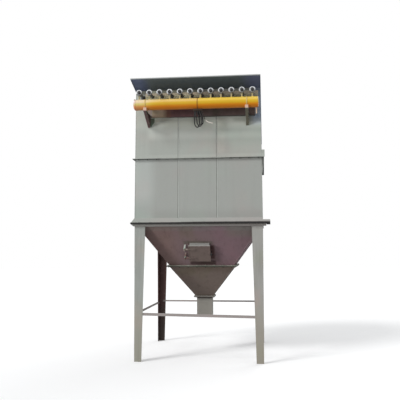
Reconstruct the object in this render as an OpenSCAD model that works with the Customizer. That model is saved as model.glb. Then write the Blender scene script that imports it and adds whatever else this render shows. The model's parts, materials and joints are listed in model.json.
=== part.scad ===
// Pulse-jet bag filter that stands on four legs above its discharge chute.
// Millimetres, +Z up. The front, with the compressed air header, faces -Y.
// The origin is on the ground, in the middle of the outline seen from above.

/* [Casing] */
// Width of the casing over its walls
body_w = 1900; // [1600:10:2300]
// Depth of the casing over its walls
body_d = 2100; // [1700:10:2500]
// Thickness of the casing and hopper plates
wall_t = 5; // [4:0.5:8]
// Height of the lower storey, from base flange to middle flange
lower_h = 950; // [700:10:1300]
// Height of the upper storey's front wall, from middle flange to roof
upper_h = 1053; // [900:1:1400]
// Distance of the sheet seams from the middle of a wall
seam_x = 290; // [200:5:400]
// Width of a sheet seam
seam_w = 8; // [5:1:14]
// Depth of a sheet seam
seam_deep = 2; // [1:0.5:3]

/* [Flanges] */
// Thickness of the flange plates of the hopper and its outlet
plate_t = 10; // [8:1:16]
// Thickness of the base flange and of the support frame's top plate
base_plate_t = 12; // [8:1:16]
// How far the base flange stands out from the walls
base_out = 55; // [40:1:80]
// How far it stands out from the right wall, behind the front corner
base_right_out = 12; // [8:1:50]
// How far the base flange reaches in under the walls
base_in = 60; // [40:1:80]
// Height of the upright band round the foot of the casing
band_h = 63; // [40:1:90]
// Thickness of that band
band_t = 6; // [4:1:10]
// Thickness of each plate of the middle flange
mid_plate_t = 5; // [4:0.5:12]
// How far the middle flange stands out from the walls
mid_out = 38; // [25:1:50]
// How far the middle flange reaches inside the walls
mid_in = 40; // [20:1:60]
// Gap that shows between the two plates of the middle flange
mid_groove = 2; // [1:0.5:4]
// How far the corner lug stands out from the right wall
lug_out = 112; // [85:1:140]
// Height of the corner lug above the flange
lug_h = 36; // [30:1:90]
// How far the lug reaches down beside the base flange
lug_drop = 28; // [0:1:40]
// Height of the plate above the middle flange, on the right wall
side_plate_h = 105; // [80:1:140]
// Height of the gusset below the middle flange, on the right wall
side_gusset_h = 310; // [200:5:400]
// Thickness of that plate and of the gusset
side_plate_t = 10; // [6:1:16]

/* [Roof] */
// Fall of the roof towards the rear, in millimetres for each metre of depth
roof_fall = 220; // [60:10:240]
// Overhang in front, above the valves
roof_front = 395; // [395:5:480]
// Overhang at the rear
roof_rear = 60; // [56:1:120]
// Overhang at each side
roof_side = 8; // [8:1:50]
// Thickness of the roof sheet
roof_t = 5; // [3:0.5:8]
// Depth of the folded edge all round
roof_lip = 15; // [12:1:40]

/* [Legs] */
// Height of the legs
leg_h = 1940; // [1800:10:2200]
// Width of each leg's two flanges at the top
leg_top_w = 160; // [130:1:200]
// Width of each leg's two flanges at the foot
leg_foot_w = 105; // [80:1:125]
// Thickness of the folded leg plate
leg_t = 8; // [6:1:12]
// How far each foot is set in from the top
leg_lean = 15; // [0:1:40]
// Height of the upright web of the support frame
beam_h = 36; // [30:1:70]
// Thickness of that web
beam_t = 8; // [6:1:12]

/* [Braces] */
// Height of the front brace's middle above the ground
front_brace_z = 656; // [450:1:900]
// How far the front brace falls from its left end to its right end
front_brace_fall = 28; // [0:1:40]
// Height of the side braces' middle above the ground
side_brace_z = 673; // [450:1:900]
// Height of the rear brace's middle above the ground
rear_brace_z = 694; // [450:1:900]
// Size of the front brace angle
front_brace_size = 40; // [35:1:65]
// Size of the side and rear brace angles
side_brace_size = 25; // [20:1:50]
// Thickness of the brace angles
brace_t = 5; // [4:0.5:8]
// Length of brace that lies inside each leg
brace_lap = 50; // [30:1:60]

/* [Hopper] */
// Height of the joint between the two hopper cones
joint_z = 1349; // [1250:1:1450]
// Half width of the hopper at that joint
joint_half_w = 490; // [440:1:600]
// Half depth of the hopper at that joint
joint_half_d = 575; // [500:1:650]
// How far the joint flange stands out
joint_out = 43; // [25:1:50]
// Height of the outlet at the foot of the lower cone
outlet_z = 872; // [840:1:1000]
// Half width of the square outlet
outlet_half = 135; // [120:1:180]
// How far the outlet flange stands out
outlet_out = 30; // [20:1:45]
// Half width of the discharge chute
chute_half = 120; // [110:1:145]
// Height of the chute's open end above the ground
chute_z = 560; // [400:5:640]
// How far the hopper's top edge is set in from the casing walls
hopper_inset = 15; // [12:1:24]

/* [Hatch] */
// Width of the hatch door
hatch_w = 330; // [260:1:400]
// Height of the hatch door, along the hopper's slope
hatch_h = 285; // [220:1:330]
// How far the neck stands out from the hopper's face
neck_out = 85; // [60:1:120]
// Thickness of the neck's plates
neck_t = 6; // [4:1:10]
// How far the door overlaps the neck on every side
door_lap = 16; // [10:1:24]
// Depth of the door with its folded edge
door_t = 14; // [10:1:20]
// Seal gap between door and neck
door_gap = 0.3; // [0.2:0.1:0.8]
// Height of the hatch's middle, measured up the slope from the hopper joint
hatch_up = 298; // [235:1:330]
// Distance from the door's edge to the hinge pins
hinge_reach = 58; // [40:1:75]
// Distance of each hinge from the middle of the door
hinge_at = 78; // [60:1:95]
// Radius of the hinge pins
pin_r = 6; // [4:0.5:8]
// Radial clearance of the hinge pins
pin_gap = 0.3; // [0.2:0.1:0.6]
// Width of the hinge arms
arm_w = 24; // [16:1:36]
// Gap between a hinge arm and each ear
ear_gap = 1; // [0.5:0.5:2]

/* [Air header] */
// Number of pulse valves
valve_n = 12; // [8:1:13]
// Distance of the outer valves from the casing's sides
row_margin = 113; // [90:1:160]
// Outer radius of the header tube
header_r = 80; // [60:0.5:84]
// Distance of the header's axis in front of the wall
header_gap = 300; // [240:1:305]
// Height of the wall's top edge above the header's axis
header_drop = 294; // [270:1:340]
// Distance of the header's ends from the casing's sides
header_inset = 24; // [0:1:40]
// Length of the header's domed left end
dome = 36; // [20:1:60]
// Length of its flatter right end
flat_dome = 14; // [8:1:30]
// Height of the valves' middle above the header's axis
valve_rise = 183; // [175:1:235]
// Radius of the stub tubes under the valves
stub_r = 13; // [10:1:21]
// Radius of the blow pipes
pipe_r = 21; // [15:1:25]
// Distance of each bracket from the middle between the two outer valves, towards the header's middle
bracket_in = [21, 9];
// Height of the brackets on the wall
bracket_h = 185; // [150:5:300]
// Width of the brackets
bracket_w = 46; // [40:1:80]
// Width of the sloping flange in front of each bracket
bracket_flange = 40; // [30:1:56]
// Wall plate of the left bracket: how far it reaches inwards, and where its chamfer and its body end above the foot
bracket_plate = [80, 80, 142];
// Width of the clamp bands round the header
strap_w = 16; // [12:1:40]
// Thickness of the clamp bands
strap_t = 5; // [3:0.5:8]
// Clearance of what is clamped round or under the header
clamp_gap = 0.3; // [0.2:0.1:0.5]
// Height of the rail behind the valves
rail_h = 77; // [60:1:100]
// Depth of both rails on the wall
rail_d = 50; // [30:1:60]
// Height of that rail's middle above the valves' middle
rail_up = 20; // [0:1:30]
// Height of the rail below the header
low_rail_h = 125; // [60:1:135]
// Distance of that rail's ends from the casing's left and right sides
low_rail_in = [260, 83];
// How far that rail's lower edge lies below the brackets' arms
low_rail_low = 36; // [20:1:50]
// Clearance between that rail and the bracket that it is cut out for
rail_cut_gap = 5; // [3:1:12]
// Radius of the signal cables that hang in loops
cable_r = 8; // [5:0.5:8]
// Radius of the cable with the stripped end
wire_r = 6; // [3:0.5:7]
// Distance of the cable clip from the header's middle, to the right
clip_x = 33; // [0:1:40]

/* [Hidden] */

function valve_name(i) = str("pulse_valve_", i < 10 ? "0" : "", i);

grey = "#9aa09a";
light_grey = "#a8ada6";
dark_grey = "#4a4a48";
primer = "#665855";
yellow = "#d9a32c";
cream = "#d8cfa8";
silver = "#b8babc";
black = "#26262a";

round_fn = 48;

// Heights, from the ground up
frame_z = leg_h + beam_h;
flange_z = frame_z + base_plate_t;
casing_z = flange_z + base_plate_t;
mid_z = casing_z + lower_h;
mid_h = 2 * mid_plate_t + mid_groove;
upper_z = mid_z + mid_h;
wall_top = upper_z + upper_h;

// Half sizes of the casing, measured from its own middle
half_w = body_w / 2;
half_d = body_d / 2;

// The casing's middle, so that the whole outline is centred on the origin
right_reach = half_w + max(lug_out, base_out, roof_side);
left_reach = half_w + max(base_out, roof_side);
front_reach = half_d + roof_front;
rear_reach = half_d + max(base_out, roof_rear);
body_x = (left_reach - right_reach) / 2;
body_y = (front_reach - rear_reach) / 2;

// Hopper
cone_top_w = half_w - hopper_inset;
cone_top_d = half_d - hopper_inset;
joint_top = joint_z + plate_t;
joint_low = joint_z - plate_t;
cone_rise = frame_z - joint_top;
cone_run = cone_top_d - joint_half_d;
slope = atan2(cone_rise, cone_run);
outlet_low = outlet_z - 2 * plate_t;

// Hatch, on the front face of the upper cone
neck_w = hatch_w - 2 * door_lap;
neck_h = hatch_h - 2 * door_lap;
hinge_x = -hatch_w / 2 - hinge_reach;
door_in = neck_out + door_gap;
door_face = door_in + door_t;
arm_t = 8;
pin_z = door_face + arm_t / 2;
knuckle_r = pin_r + 6;
ear_t = 8;
ear_w = 2 * knuckle_r;
knob_r = 22;
knob_h = 24;
knob_out = 24;
latch_lug = 46;
bolt_r = 6;
bolt_in = 50;

// Air header, its valves and what carries them
header_y = -half_d - header_gap;
header_z = wall_top - header_drop;
header_half = half_w - header_inset;
valve_z = header_z + valve_rise;
valve_pitch = (body_w - 2 * row_margin) / (valve_n - 1);
first_valve_x = row_margin - half_w;
valve_body_r = 34;
valve_cover_r = 45;
valve_back = 46;
socket_r = 18;
socket_low = 50;
collar_r = 34;
collar_t = 8;
outer_gap_x = -first_valve_x - valve_pitch / 2;
bracket_x = [bracket_in[0] - outer_gap_x, outer_gap_x - bracket_in[1]];
rail_end = [110, 81];
rail_left = valve_x(2) - rail_end[0];
rail_right = valve_x(valve_n) + rail_end[1];
rail_z = valve_z + rail_up;
rail_t = 5;
saddle_low = 18;
saddle_top = header_z - 0.7 * header_r;
saddle_half = header_r - 2;
arm_z = header_z - header_r - saddle_low;
bracket_t = 8;
low_rail_z = arm_z - low_rail_low;
clip_w = 136;
clip_d = 30;
clip_h = 22;
clip_z = header_z - header_r - strap_t - clamp_gap - clip_h;
drain_r = 10;
drain_x = header_half - flat_dome - 2 * drain_r;
drain_h = 94;
inlet_r = 12;
inlet_h = 8;
inlet_x = dome / 2 - header_half;

function leg_out(half, z) = half - leg_lean * (1 - z / leg_h);
function leg_w(z) = leg_foot_w + (leg_top_w - leg_foot_w) * z / leg_h;
function roof_z(y) = wall_top - (y + half_d) * roof_fall / 1000;
function valve_x(i) = first_valve_x + (i - 1) * valve_pitch;

// Moves a shape from the casing's own middle to its place on the ground
module at_body() {
    translate([body_x, body_y, 0]) children();
}

// A solid between two level rectangles, each given as [x0, x1, y0, y1, z]
module between(low, high) {
    polyhedron(
        points = [
            [low[0], low[2], low[4]], [low[1], low[2], low[4]],
            [low[1], low[3], low[4]], [low[0], low[3], low[4]],
            [high[0], high[2], high[4]], [high[1], high[2], high[4]],
            [high[1], high[3], high[4]], [high[0], high[3], high[4]]
        ],
        faces = [[0, 1, 2, 3], [4, 7, 6, 5], [0, 4, 5, 1], [1, 5, 6, 2], [2, 6, 7, 3], [3, 7, 4, 0]]
    );
}

function square_at(w, d, z) = [-w, w, -d, d, z];

// A level rectangular ring, given by its outer and inner half sizes
module ring(out_w, out_d, in_w, in_d, z, h) {
    translate([0, 0, z])
        linear_extrude(h)
            difference() {
                square([2 * out_w, 2 * out_d], center = true);
                square([2 * in_w, 2 * in_d], center = true);
            }
}

// One plate of the base flange: full width at the front and left, narrow behind the front right corner
module base_plate(z) {
    difference() {
        ring(half_w + base_out, half_d + base_out, half_w - base_in, half_d - base_in, z, base_plate_t);
        translate([half_w + base_right_out, -half_d + beam_t, z - 1])
            cube([base_out, 2 * half_d + base_out, base_plate_t + 2]);
    }
}

// An outline in the YZ plane, extruded from x0 to x1
module across(x0, x1) {
    translate([x0, 0, 0])
        rotate([90, 0, 90])
            linear_extrude(x1 - x0) children();
}

// An outline in the XZ plane, extruded from y0 to y1
module along(y0, y1) {
    translate([0, y1, 0])
        rotate([90, 0, 0])
            linear_extrude(y1 - y0) children();
}

// ---- Legs and braces ----

// One folded leg at the corner that side and end point to, each -1 or 1
module leg(side, end) {
    at_body()
        to_corner(side, end) {
            foot_x = leg_out(half_w, 0);
            foot_y = leg_out(half_d, 0);
            between(
                [foot_x - leg_foot_w, foot_x, foot_y - leg_t, foot_y, 0],
                [half_w - leg_top_w, half_w, half_d - leg_t, half_d, leg_h]
            );
            between(
                [foot_x - leg_t, foot_x, foot_y - leg_foot_w, foot_y, 0],
                [half_w - leg_t, half_w, half_d - leg_top_w, half_d, leg_h]
            );
        }
}

// Mirrors what is drawn in the corner where X and Y are positive
module to_corner(side, end) {
    mirror([side < 0 ? 1 : 0, 0, 0])
        mirror([0, end < 0 ? 1 : 0, 0])
            children();
}

module leg_front_left() {
    color(grey) leg(-1, -1);
}

module leg_front_right() {
    color(grey) leg(1, -1);
}

module leg_rear_left() {
    color(dark_grey) leg(-1, 1);
}

module leg_rear_right() {
    color(dark_grey) leg(1, 1);
}

// A straight bar along X between two upright rectangles of one size, each given by its face and foot
module bar_between(reach, d, h, left, right) {
    ends = [[-reach, left], [reach, right]];
    polyhedron(
        points = [
            for (e = ends, corner = [[-d, 0], [0, 0], [0, h], [-d, h]])
                [e[0], e[1][0] + corner[0], e[1][1] + corner[1]]
        ],
        faces = [[0, 1, 2, 3], [7, 6, 5, 4], [4, 5, 1, 0], [5, 6, 2, 1], [6, 7, 3, 2], [7, 4, 0, 3]]
    );
}

// An angle bar along X that lies inside two legs; its upright flange faces outwards at +Y
module brace_bar(half_x, half_y, z, size, fall) {
    reach = leg_out(half_x, z) - leg_w(z) + brace_lap;
    feet = [z - size / 2 + fall / 2, z - size / 2 - fall / 2];
    ends = [for (foot = feet) [leg_out(half_y, foot) - leg_t, foot]];
    bar_between(reach, brace_t, size, ends[0], ends[1]);
    bar_between(reach, size, brace_t, ends[0], ends[1]);
}

module brace_front() {
    color(light_grey)
        at_body() mirror([0, 1, 0]) brace_bar(half_w, half_d, front_brace_z, front_brace_size, front_brace_fall);
}

module brace_rear() {
    color(grey)
        at_body() brace_bar(half_w, half_d, rear_brace_z, side_brace_size, 0);
}

module brace_left() {
    color(grey)
        at_body() rotate([0, 0, 90]) brace_bar(half_d, half_w, side_brace_z, side_brace_size, 0);
}

module brace_right() {
    color(grey)
        at_body() rotate([0, 0, -90]) brace_bar(half_d, half_w, side_brace_z, side_brace_size, 0);
}

// The ring of edge beams that sits on the legs and carries casing and hopper
module support_frame() {
    color(grey)
        at_body() {
            ring(half_w, half_d, half_w - beam_t, half_d - beam_t, leg_h, beam_h);
            base_plate(frame_z);
            for (y0 = [-half_d, half_d - beam_t])
                along(y0, y0 + beam_t) frame_rib(-1, beam_h - 4, base_out / 3);
            along(-half_d, -half_d + beam_t) frame_rib(1, beam_h, base_out - 2);
        }
}

// Outline of a rib under the frame's overhang at the left or right side
module frame_rib(side, h, foot_out) {
    polygon([
        [side * half_w, frame_z],
        [side * (half_w + base_out - 2), frame_z],
        [side * (half_w + base_out - 2), frame_z - 6],
        [side * (half_w + foot_out), frame_z - h],
        [side * half_w, frame_z - h]
    ]);
}

// ---- Hopper ----

// A four-sided shell between two levels, open at both ends
module cone_shell(top_w, top_d, top_z, low_w, low_d, low_z, t) {
    difference() {
        between(square_at(low_w, low_d, low_z), square_at(top_w, top_d, top_z));
        between(square_at(low_w - t, low_d - t, low_z), square_at(top_w - t, top_d - t, top_z));
    }
}

module upper_hopper() {
    color(primer)
        at_body()
            difference() {
                cone_shell(cone_top_w, cone_top_d, frame_z, joint_half_w, joint_half_d, joint_top, wall_t);
                on_hatch() hatch_block(neck_w - 2 * neck_t, neck_h - 2 * neck_t, -4 * wall_t, 4 * wall_t);
            }
}

module hopper_flange() {
    color(primer)
        at_body()
            ring(
                joint_half_w + joint_out, joint_half_d + joint_out,
                joint_half_w - wall_t, joint_half_d - wall_t, joint_low, 2 * plate_t
            );
}

module lower_hopper() {
    color(primer)
        at_body()
            cone_shell(joint_half_w, joint_half_d, joint_low, outlet_half, outlet_half, outlet_z, wall_t);
}

module outlet_flange() {
    color(grey)
        at_body()
            ring(
                outlet_half + outlet_out, outlet_half + outlet_out,
                chute_half - wall_t, chute_half - wall_t, outlet_low, 2 * plate_t
            );
}

module discharge_chute() {
    color(grey)
        at_body()
            ring(
                chute_half, chute_half, chute_half - wall_t, chute_half - wall_t,
                chute_z, outlet_low - chute_z
            );
}

// ---- Hatch: X across, Y up the slope, Z out of the hopper's front face ----

module on_hatch() {
    translate([0, -joint_half_d, joint_top])
        rotate([180 - slope, 0, 0])
            translate([0, hatch_up, 0])
                children();
}

// A block centred on the hatch, from z0 to z1 outwards
module hatch_block(w, h, z0, z1) {
    translate([-w / 2, -h / 2, z0]) cube([w, h, z1 - z0]);
}

// A bar along Y, centred on the hinge pins' axis
module hinge_rod(r, y0, y1) {
    translate([hinge_x, y1, pin_z])
        rotate([90, 0, 0])
            cylinder(r = r, h = y1 - y0, $fn = round_fn);
}

// Two ears on a foot plate, with the pin between them
module hinge_ears() {
    for (side = [-1, 1]) {
        y0 = side < 0 ? -arm_w / 2 - ear_gap - ear_t : arm_w / 2 + ear_gap;
        translate([hinge_x - ear_w / 2, y0, 0]) cube([ear_w, ear_t, pin_z]);
        hinge_rod(ear_w / 2, y0, y0 + ear_t);
    }
    hinge_rod(pin_r, -arm_w / 2 - 2 * ear_gap, arm_w / 2 + 2 * ear_gap);
}

module hatch_neck() {
    color(primer)
        at_body() on_hatch() {
            difference() {
                hatch_block(neck_w, neck_h, 0, neck_out);
                hatch_block(neck_w - 2 * neck_t, neck_h - 2 * neck_t, -1, neck_out + 1);
            }
            for (y = [-hinge_at, hinge_at])
                translate([0, y, 0]) hinge_ears();
        }
}

module hatch_door() {
    color(primer)
        at_body() on_hatch() {
            hatch_block(hatch_w, hatch_h, door_in, door_face);
            for (y = [-hinge_at, hinge_at])
                translate([0, y, 0])
                    difference() {
                        union() {
                            hinge_rod(knuckle_r, -arm_w / 2, arm_w / 2);
                            translate([hinge_x, -arm_w / 2, door_face])
                                cube([hinge_reach + hatch_w / 3, arm_w, arm_t]);
                        }
                        hinge_rod(pin_r + pin_gap, -arm_w, arm_w);
                    }
            translate([hatch_w / 2 - latch_lug / 2, -arm_w / 2, door_face])
                cube([latch_lug, arm_w, arm_t]);
        }
}

// Round knob and swing bolt that close the door at its free edge
module hatch_latch() {
    color(black)
        at_body() on_hatch()
            translate([hatch_w / 2 + knob_out / 2, 0, 0]) {
                translate([0, 0, door_face + arm_t]) cylinder(r = knob_r, h = knob_h, $fn = round_fn);
                translate([0, 0, door_face - bolt_in]) cylinder(r = bolt_r, h = bolt_in, $fn = round_fn);
            }
}

// ---- Casing ----

// Triangular rib in the XZ plane on the left side, between band and base flange
module left_rib(y0) {
    along(y0, y0 + band_t)
        polygon([
            [-half_w - band_t, casing_z],
            [-half_w - base_out, casing_z],
            [-half_w - base_out, casing_z + 4],
            [-half_w - band_t, casing_z + band_h]
        ]);
}

module base_flange() {
    color(light_grey)
        at_body() {
            base_plate(flange_z);
            ring(half_w + band_t, half_d + band_t, half_w, half_d, casing_z, band_h);
            for (y0 = [-half_d - band_t, -band_t / 2, half_d])
                left_rib(y0);
        }
}

// Plate that stands on the base flange at the front right corner and laps over the flange's end
module corner_lug() {
    corner_r = 14;
    color(light_grey)
        at_body()
            along(-half_d - band_t, -half_d + band_t) {
                difference() {
                    translate([half_w + band_t, casing_z]) square([lug_out - band_t, lug_h]);
                    translate([half_w + lug_out - corner_r, casing_z + lug_h - corner_r]) square(2 * corner_r);
                }
                translate([half_w + lug_out - corner_r, casing_z + lug_h - corner_r]) circle(corner_r, $fn = 24);
                translate([half_w + base_out, flange_z - lug_drop])
                    square([lug_out - base_out, 2 * base_plate_t + lug_drop]);
            }
}

// A wall sheet along X with its two seams on the face towards -Y
module seamed_sheet(z, h) {
    difference() {
        translate([-half_w, -half_d, z]) cube([body_w, wall_t, h]);
        for (x = [-seam_x, seam_x])
            translate([x - seam_w / 2, -half_d - 1, z - 1]) cube([seam_w, seam_deep + 1, h + 2]);
    }
}

// A wall sheet along Y with its two seams on the face towards -X
module seamed_side(z, h) {
    difference() {
        translate([-half_w, -half_d + wall_t, z]) cube([wall_t, body_d - 2 * wall_t, h]);
        for (y = [-seam_x, seam_x])
            translate([-half_w - 1, y - seam_w / 2, z - 1]) cube([seam_deep + 1, seam_w, h + 2]);
    }
}

module lower_front_wall() {
    color(grey) at_body() seamed_sheet(casing_z, lower_h);
}

module lower_rear_wall() {
    color(grey) at_body() mirror([0, 1, 0]) seamed_sheet(casing_z, lower_h);
}

module lower_left_wall() {
    color(grey) at_body() seamed_side(casing_z, lower_h);
}

module lower_right_wall() {
    color(grey) at_body() mirror([1, 0, 0]) seamed_side(casing_z, lower_h);
}

// The two bolted plates between the storeys
module mid_flange() {
    color(light_grey)
        at_body()
            difference() {
                ring(half_w + mid_out, half_d + mid_out, half_w - mid_in, half_d - mid_in, mid_z, mid_h);
                ring(
                    half_w + 2 * mid_out, half_d + 2 * mid_out,
                    half_w + mid_out / 2, half_d + mid_out / 2, mid_z + mid_plate_t, mid_groove
                );
            }
}

// Upright plate above and tapered gusset below the middle flange, on the right wall
module side_gusset() {
    color(grey)
        at_body()
            along(-half_d, -half_d + side_plate_t) {
                translate([half_w, upper_z]) square([mid_out + side_plate_t, side_plate_h]);
                polygon([[half_w, mid_z], [half_w + mid_out, mid_z], [half_w, mid_z - side_gusset_h]]);
            }
}

// Cuts the walls of the upper storey off under the roof's slope
module under_roof() {
    intersection() {
        children();
        across(-half_w - 1, half_w + 1)
            polygon([
                [-half_d - 1, upper_z - 1],
                [half_d + 1, upper_z - 1],
                [half_d + 1, roof_z(half_d + 1)],
                [-half_d - 1, roof_z(-half_d - 1)]
            ]);
    }
}

module upper_front_wall() {
    color(grey) at_body() under_roof() seamed_sheet(upper_z, upper_h + wall_t);
}

module upper_rear_wall() {
    color(grey) at_body() under_roof() mirror([0, 1, 0]) seamed_sheet(upper_z, upper_h);
}

module upper_left_wall() {
    color(grey) at_body() under_roof() seamed_side(upper_z, upper_h);
}

module upper_right_wall() {
    color(grey) at_body() under_roof() mirror([1, 0, 0]) seamed_side(upper_z, upper_h);
}

// A sloping slab between two depths and two widths, from a height below the roof line to above it
module roof_slab(x0, x1, y0, y1, below, above) {
    across(x0, x1)
        polygon([
            [y0, roof_z(y0) - below],
            [y1, roof_z(y1) - below],
            [y1, roof_z(y1) + above],
            [y0, roof_z(y0) + above]
        ]);
}

module roof() {
    color(light_grey)
        at_body() {
            edge_x = half_w + roof_side;
            y0 = -front_reach;
            y1 = half_d + roof_rear;
            roof_slab(-edge_x, edge_x, y0, y1, 0, roof_t);
            roof_slab(-edge_x, edge_x, y0, y0 + roof_t, roof_lip - roof_t, roof_t);
            roof_slab(-edge_x, edge_x, y1 - roof_t, y1, roof_lip - roof_t, roof_t);
            roof_slab(-edge_x, -edge_x + roof_t, y0, y1, roof_lip - roof_t, roof_t);
            roof_slab(edge_x - roof_t, edge_x, y0, y1, roof_lip - roof_t, roof_t);
        }
}

// ---- Air header and valves ----

// A channel on the front wall, open towards the wall
module rail(x0, x1, z, h) {
    translate([x0, -half_d - rail_d, z])
        difference() {
            cube([x1 - x0, rail_d, h]);
            translate([-1, rail_t, rail_t]) cube([x1 - x0 + 2, rail_d, h - 2 * rail_t]);
        }
}

module valve_rail() {
    color(primer) at_body() rail(rail_left, rail_right, rail_z - rail_h / 2, rail_h);
}

// The rail below the header, cut out round the right bracket
module header_rail() {
    cut_half = bracket_w / 2 + rail_cut_gap;
    color(primer)
        at_body()
            difference() {
                rail(low_rail_in[0] - half_w, half_w - low_rail_in[1], low_rail_z, low_rail_h);
                translate([bracket_x[1] - cut_half, -half_d - 2 * rail_d, low_rail_z - rail_cut_gap])
                    cube([2 * cut_half, 4 * rail_d, low_rail_low + 2 * rail_cut_gap]);
            }
}

// A solid of revolution about the header's axis, from an outline of [distance along, radius]
module on_header_axis() {
    translate([0, header_y, header_z])
        rotate([0, 90, 0])
            rotate_extrude($fn = 2 * round_fn)
                children();
}

// The tube with its domed left end and flatter right end
module header_body() {
    on_header_axis()
        polygon(concat(
            [for (a = [0:15:90]) [header_r * sin(a), header_half - flat_dome + flat_dome * cos(a)]],
            [for (a = [90:-15:0]) [header_r * sin(a), dome - header_half - dome * cos(a)]]
        ));
}

module header_tank() {
    color(yellow) at_body() header_body();
}

// A tube that stands on the header's round back, at x, and ends level at z_top
module saddle_stub(x, r, z_top) {
    difference() {
        translate([x, header_y, header_z]) cylinder(r = r, h = z_top - header_z, $fn = round_fn);
        header_space(0);
    }
}

// The space that the header's round part takes up
module header_space(gap) {
    translate([-header_half - 1, header_y, header_z])
        rotate([0, 90, 0])
            cylinder(r = header_r + gap, h = 2 * header_half + 2, $fn = 2 * round_fn);
}

module header_fittings() {
    color(cream)
        at_body() {
            for (i = [1:valve_n])
                saddle_stub(valve_x(i), stub_r, valve_z - socket_low);
            difference() {
                union() {
                    translate([drain_x, header_y, header_z - header_r - drain_h])
                        cylinder(r = drain_r, h = header_r + drain_h, $fn = round_fn);
                    translate([inlet_x, header_y, header_z])
                        cylinder(r = inlet_r, h = header_r + inlet_h, $fn = round_fn);
                }
                header_body();
            }
        }
}

module strap(x, w) {
    translate([x - w / 2, header_y, header_z])
        rotate([0, 90, 0])
            difference() {
                cylinder(r = header_r + clamp_gap + strap_t, h = w, $fn = 2 * round_fn);
                translate([0, 0, -1]) cylinder(r = header_r + clamp_gap, h = w + 2, $fn = 2 * round_fn);
            }
}

// Curved block that the header lies in, on its bracket
module saddle(x) {
    difference() {
        translate([x - bracket_w / 2, header_y - saddle_half, arm_z])
            cube([bracket_w, 2 * saddle_half, saddle_top - arm_z]);
        header_space(clamp_gap);
    }
}

// Two clamp bands with their saddles and, in the middle, the band with the cable clip under it
module header_straps() {
    color(cream)
        at_body() {
            for (x = bracket_x) {
                strap(x, strap_w);
                saddle(x);
            }
            strap(clip_x, strap_w / 2);
            difference() {
                translate([clip_x - clip_w / 2, header_y - clip_d / 2, clip_z])
                    cube([clip_w, clip_d, clip_h + header_r / 4]);
                header_space(clamp_gap);
            }
        }
}

// Wall plate, arm, web and sloping front flange below a saddle
module header_bracket(x) {
    arm_low = arm_z - bracket_t;
    tip_y = header_y - saddle_half;
    foot_z = arm_z - bracket_h;
    translate([x - bracket_w / 2, -half_d - bracket_t, foot_z]) cube([bracket_w, bracket_t, bracket_h]);
    translate([x - bracket_w / 2, tip_y, arm_low]) cube([bracket_w, header_gap + saddle_half, bracket_t]);
    across(x - bracket_t / 2, x + bracket_t / 2)
        polygon([[-half_d, arm_low], [tip_y, arm_low], [-half_d - bracket_t, foot_z], [-half_d, foot_z]]);
    across(x - bracket_flange / 2, x + bracket_flange / 2)
        polygon([
            [tip_y, arm_low],
            [-half_d - bracket_t, foot_z],
            [-half_d - bracket_t, foot_z + 2 * bracket_t],
            [tip_y + 2 * bracket_t, arm_low]
        ]);
}

// Wider part of the left bracket's wall plate, chamfered towards its foot
module bracket_wing(x) {
    translate([x, -half_d, arm_z - bracket_h])
        rotate([90, 0, 0])
            linear_extrude(bracket_t)
                polygon([
                    [0, 0],
                    [bracket_w / 2 - 3, 0],
                    [bracket_plate[0], bracket_plate[1]],
                    [bracket_plate[0], bracket_plate[2]],
                    [0, bracket_plate[2]]
                ]);
}

module header_brackets() {
    color(dark_grey)
        at_body() {
            for (x = bracket_x)
                header_bracket(x);
            bracket_wing(bracket_x[0]);
        }
}

module blow_pipes() {
    color(dark_grey)
        at_body()
            for (i = [1:valve_n]) {
                x = valve_x(i);
                face = x > rail_left ? -half_d - rail_d : -half_d;
                translate([x, face, valve_z])
                    rotate([90, 0, 0]) {
                        cylinder(r = pipe_r, h = face - header_y - valve_back, $fn = round_fn);
                        cylinder(r = x > rail_left ? pipe_r + 4 : collar_r, h = collar_t, $fn = round_fn);
                    }
            }
}

// Diaphragm valve: cover ring and coil towards the front, pipe socket behind, inlet socket below
module pulse_valve(i) {
    color(silver)
        at_body()
            translate([valve_x(i), header_y, valve_z]) {
                rotate([90, 0, 0])
                    rotate_extrude($fn = round_fn)
                        polygon([
                            [0, -valve_back],
                            [pipe_r + 5, -valve_back],
                            [pipe_r + 5, -valve_back + 16],
                            [valve_body_r, -valve_back + 20],
                            [valve_body_r, 4],
                            [valve_cover_r, 8],
                            [valve_cover_r, 26],
                            [valve_cover_r - 5, 32],
                            [valve_cover_r - 14, 32],
                            [valve_cover_r - 20, 26],
                            [16, 26],
                            [16, 42],
                            [0, 42]
                        ]);
                translate([0, 0, -socket_low])
                    cylinder(r = socket_r, h = socket_low, $fn = round_fn);
            }
}

// ---- Signal cables, hanging from the clip ----

// Points of each route from the middle of the clip's underside, as [x, y, drop]
left_route = [
    [-42.5, 0, 0], [-44, -1, 40], [-46, -2, 85], [-48, -2, 130], [-46, -2, 175], [-38, -2, 215], [-18, -2, 243],
    [6, -2, 246], [24, -2, 222], [32, -2, 180], [28, -2, 130], [16, -1, 82], [0, 0, 38], [-8.5, 0, 0]
];
middle_route = [
    [-25.5, 0, 0], [-25, -19, 42], [-20, -27, 90], [-12, -29, 140], [-4, -29, 190], [14, -28, 226],
    [38, -27, 240], [56, -26, 222], [62, -25, 180], [60, -23, 130], [52, -20, 82], [36, -13, 38], [25.5, 0, 0]
];
right_route = [
    [42.5, 0, 0], [50, 10, 38], [62, 18, 76], [72, 20, 116], [76.5, 20, 150], [76, 20, 178], [68.5, 20, 196],
    [51, 20, 203], [33.5, 20, 196], [26, 20, 178], [24.5, 20, 150], [24, 20, 98], [18, 15, 46], [8.5, 0, 0]
];
stripped_route = [
    [60, 0, 0], [66, -4, 30], [78, -8, 62], [92, -10, 95], [106, -10, 125], [124, -10, 152],
    [148, -10, 171], [175, -10, 183], [200, -10, 190], [222, -10, 196]
];

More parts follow.
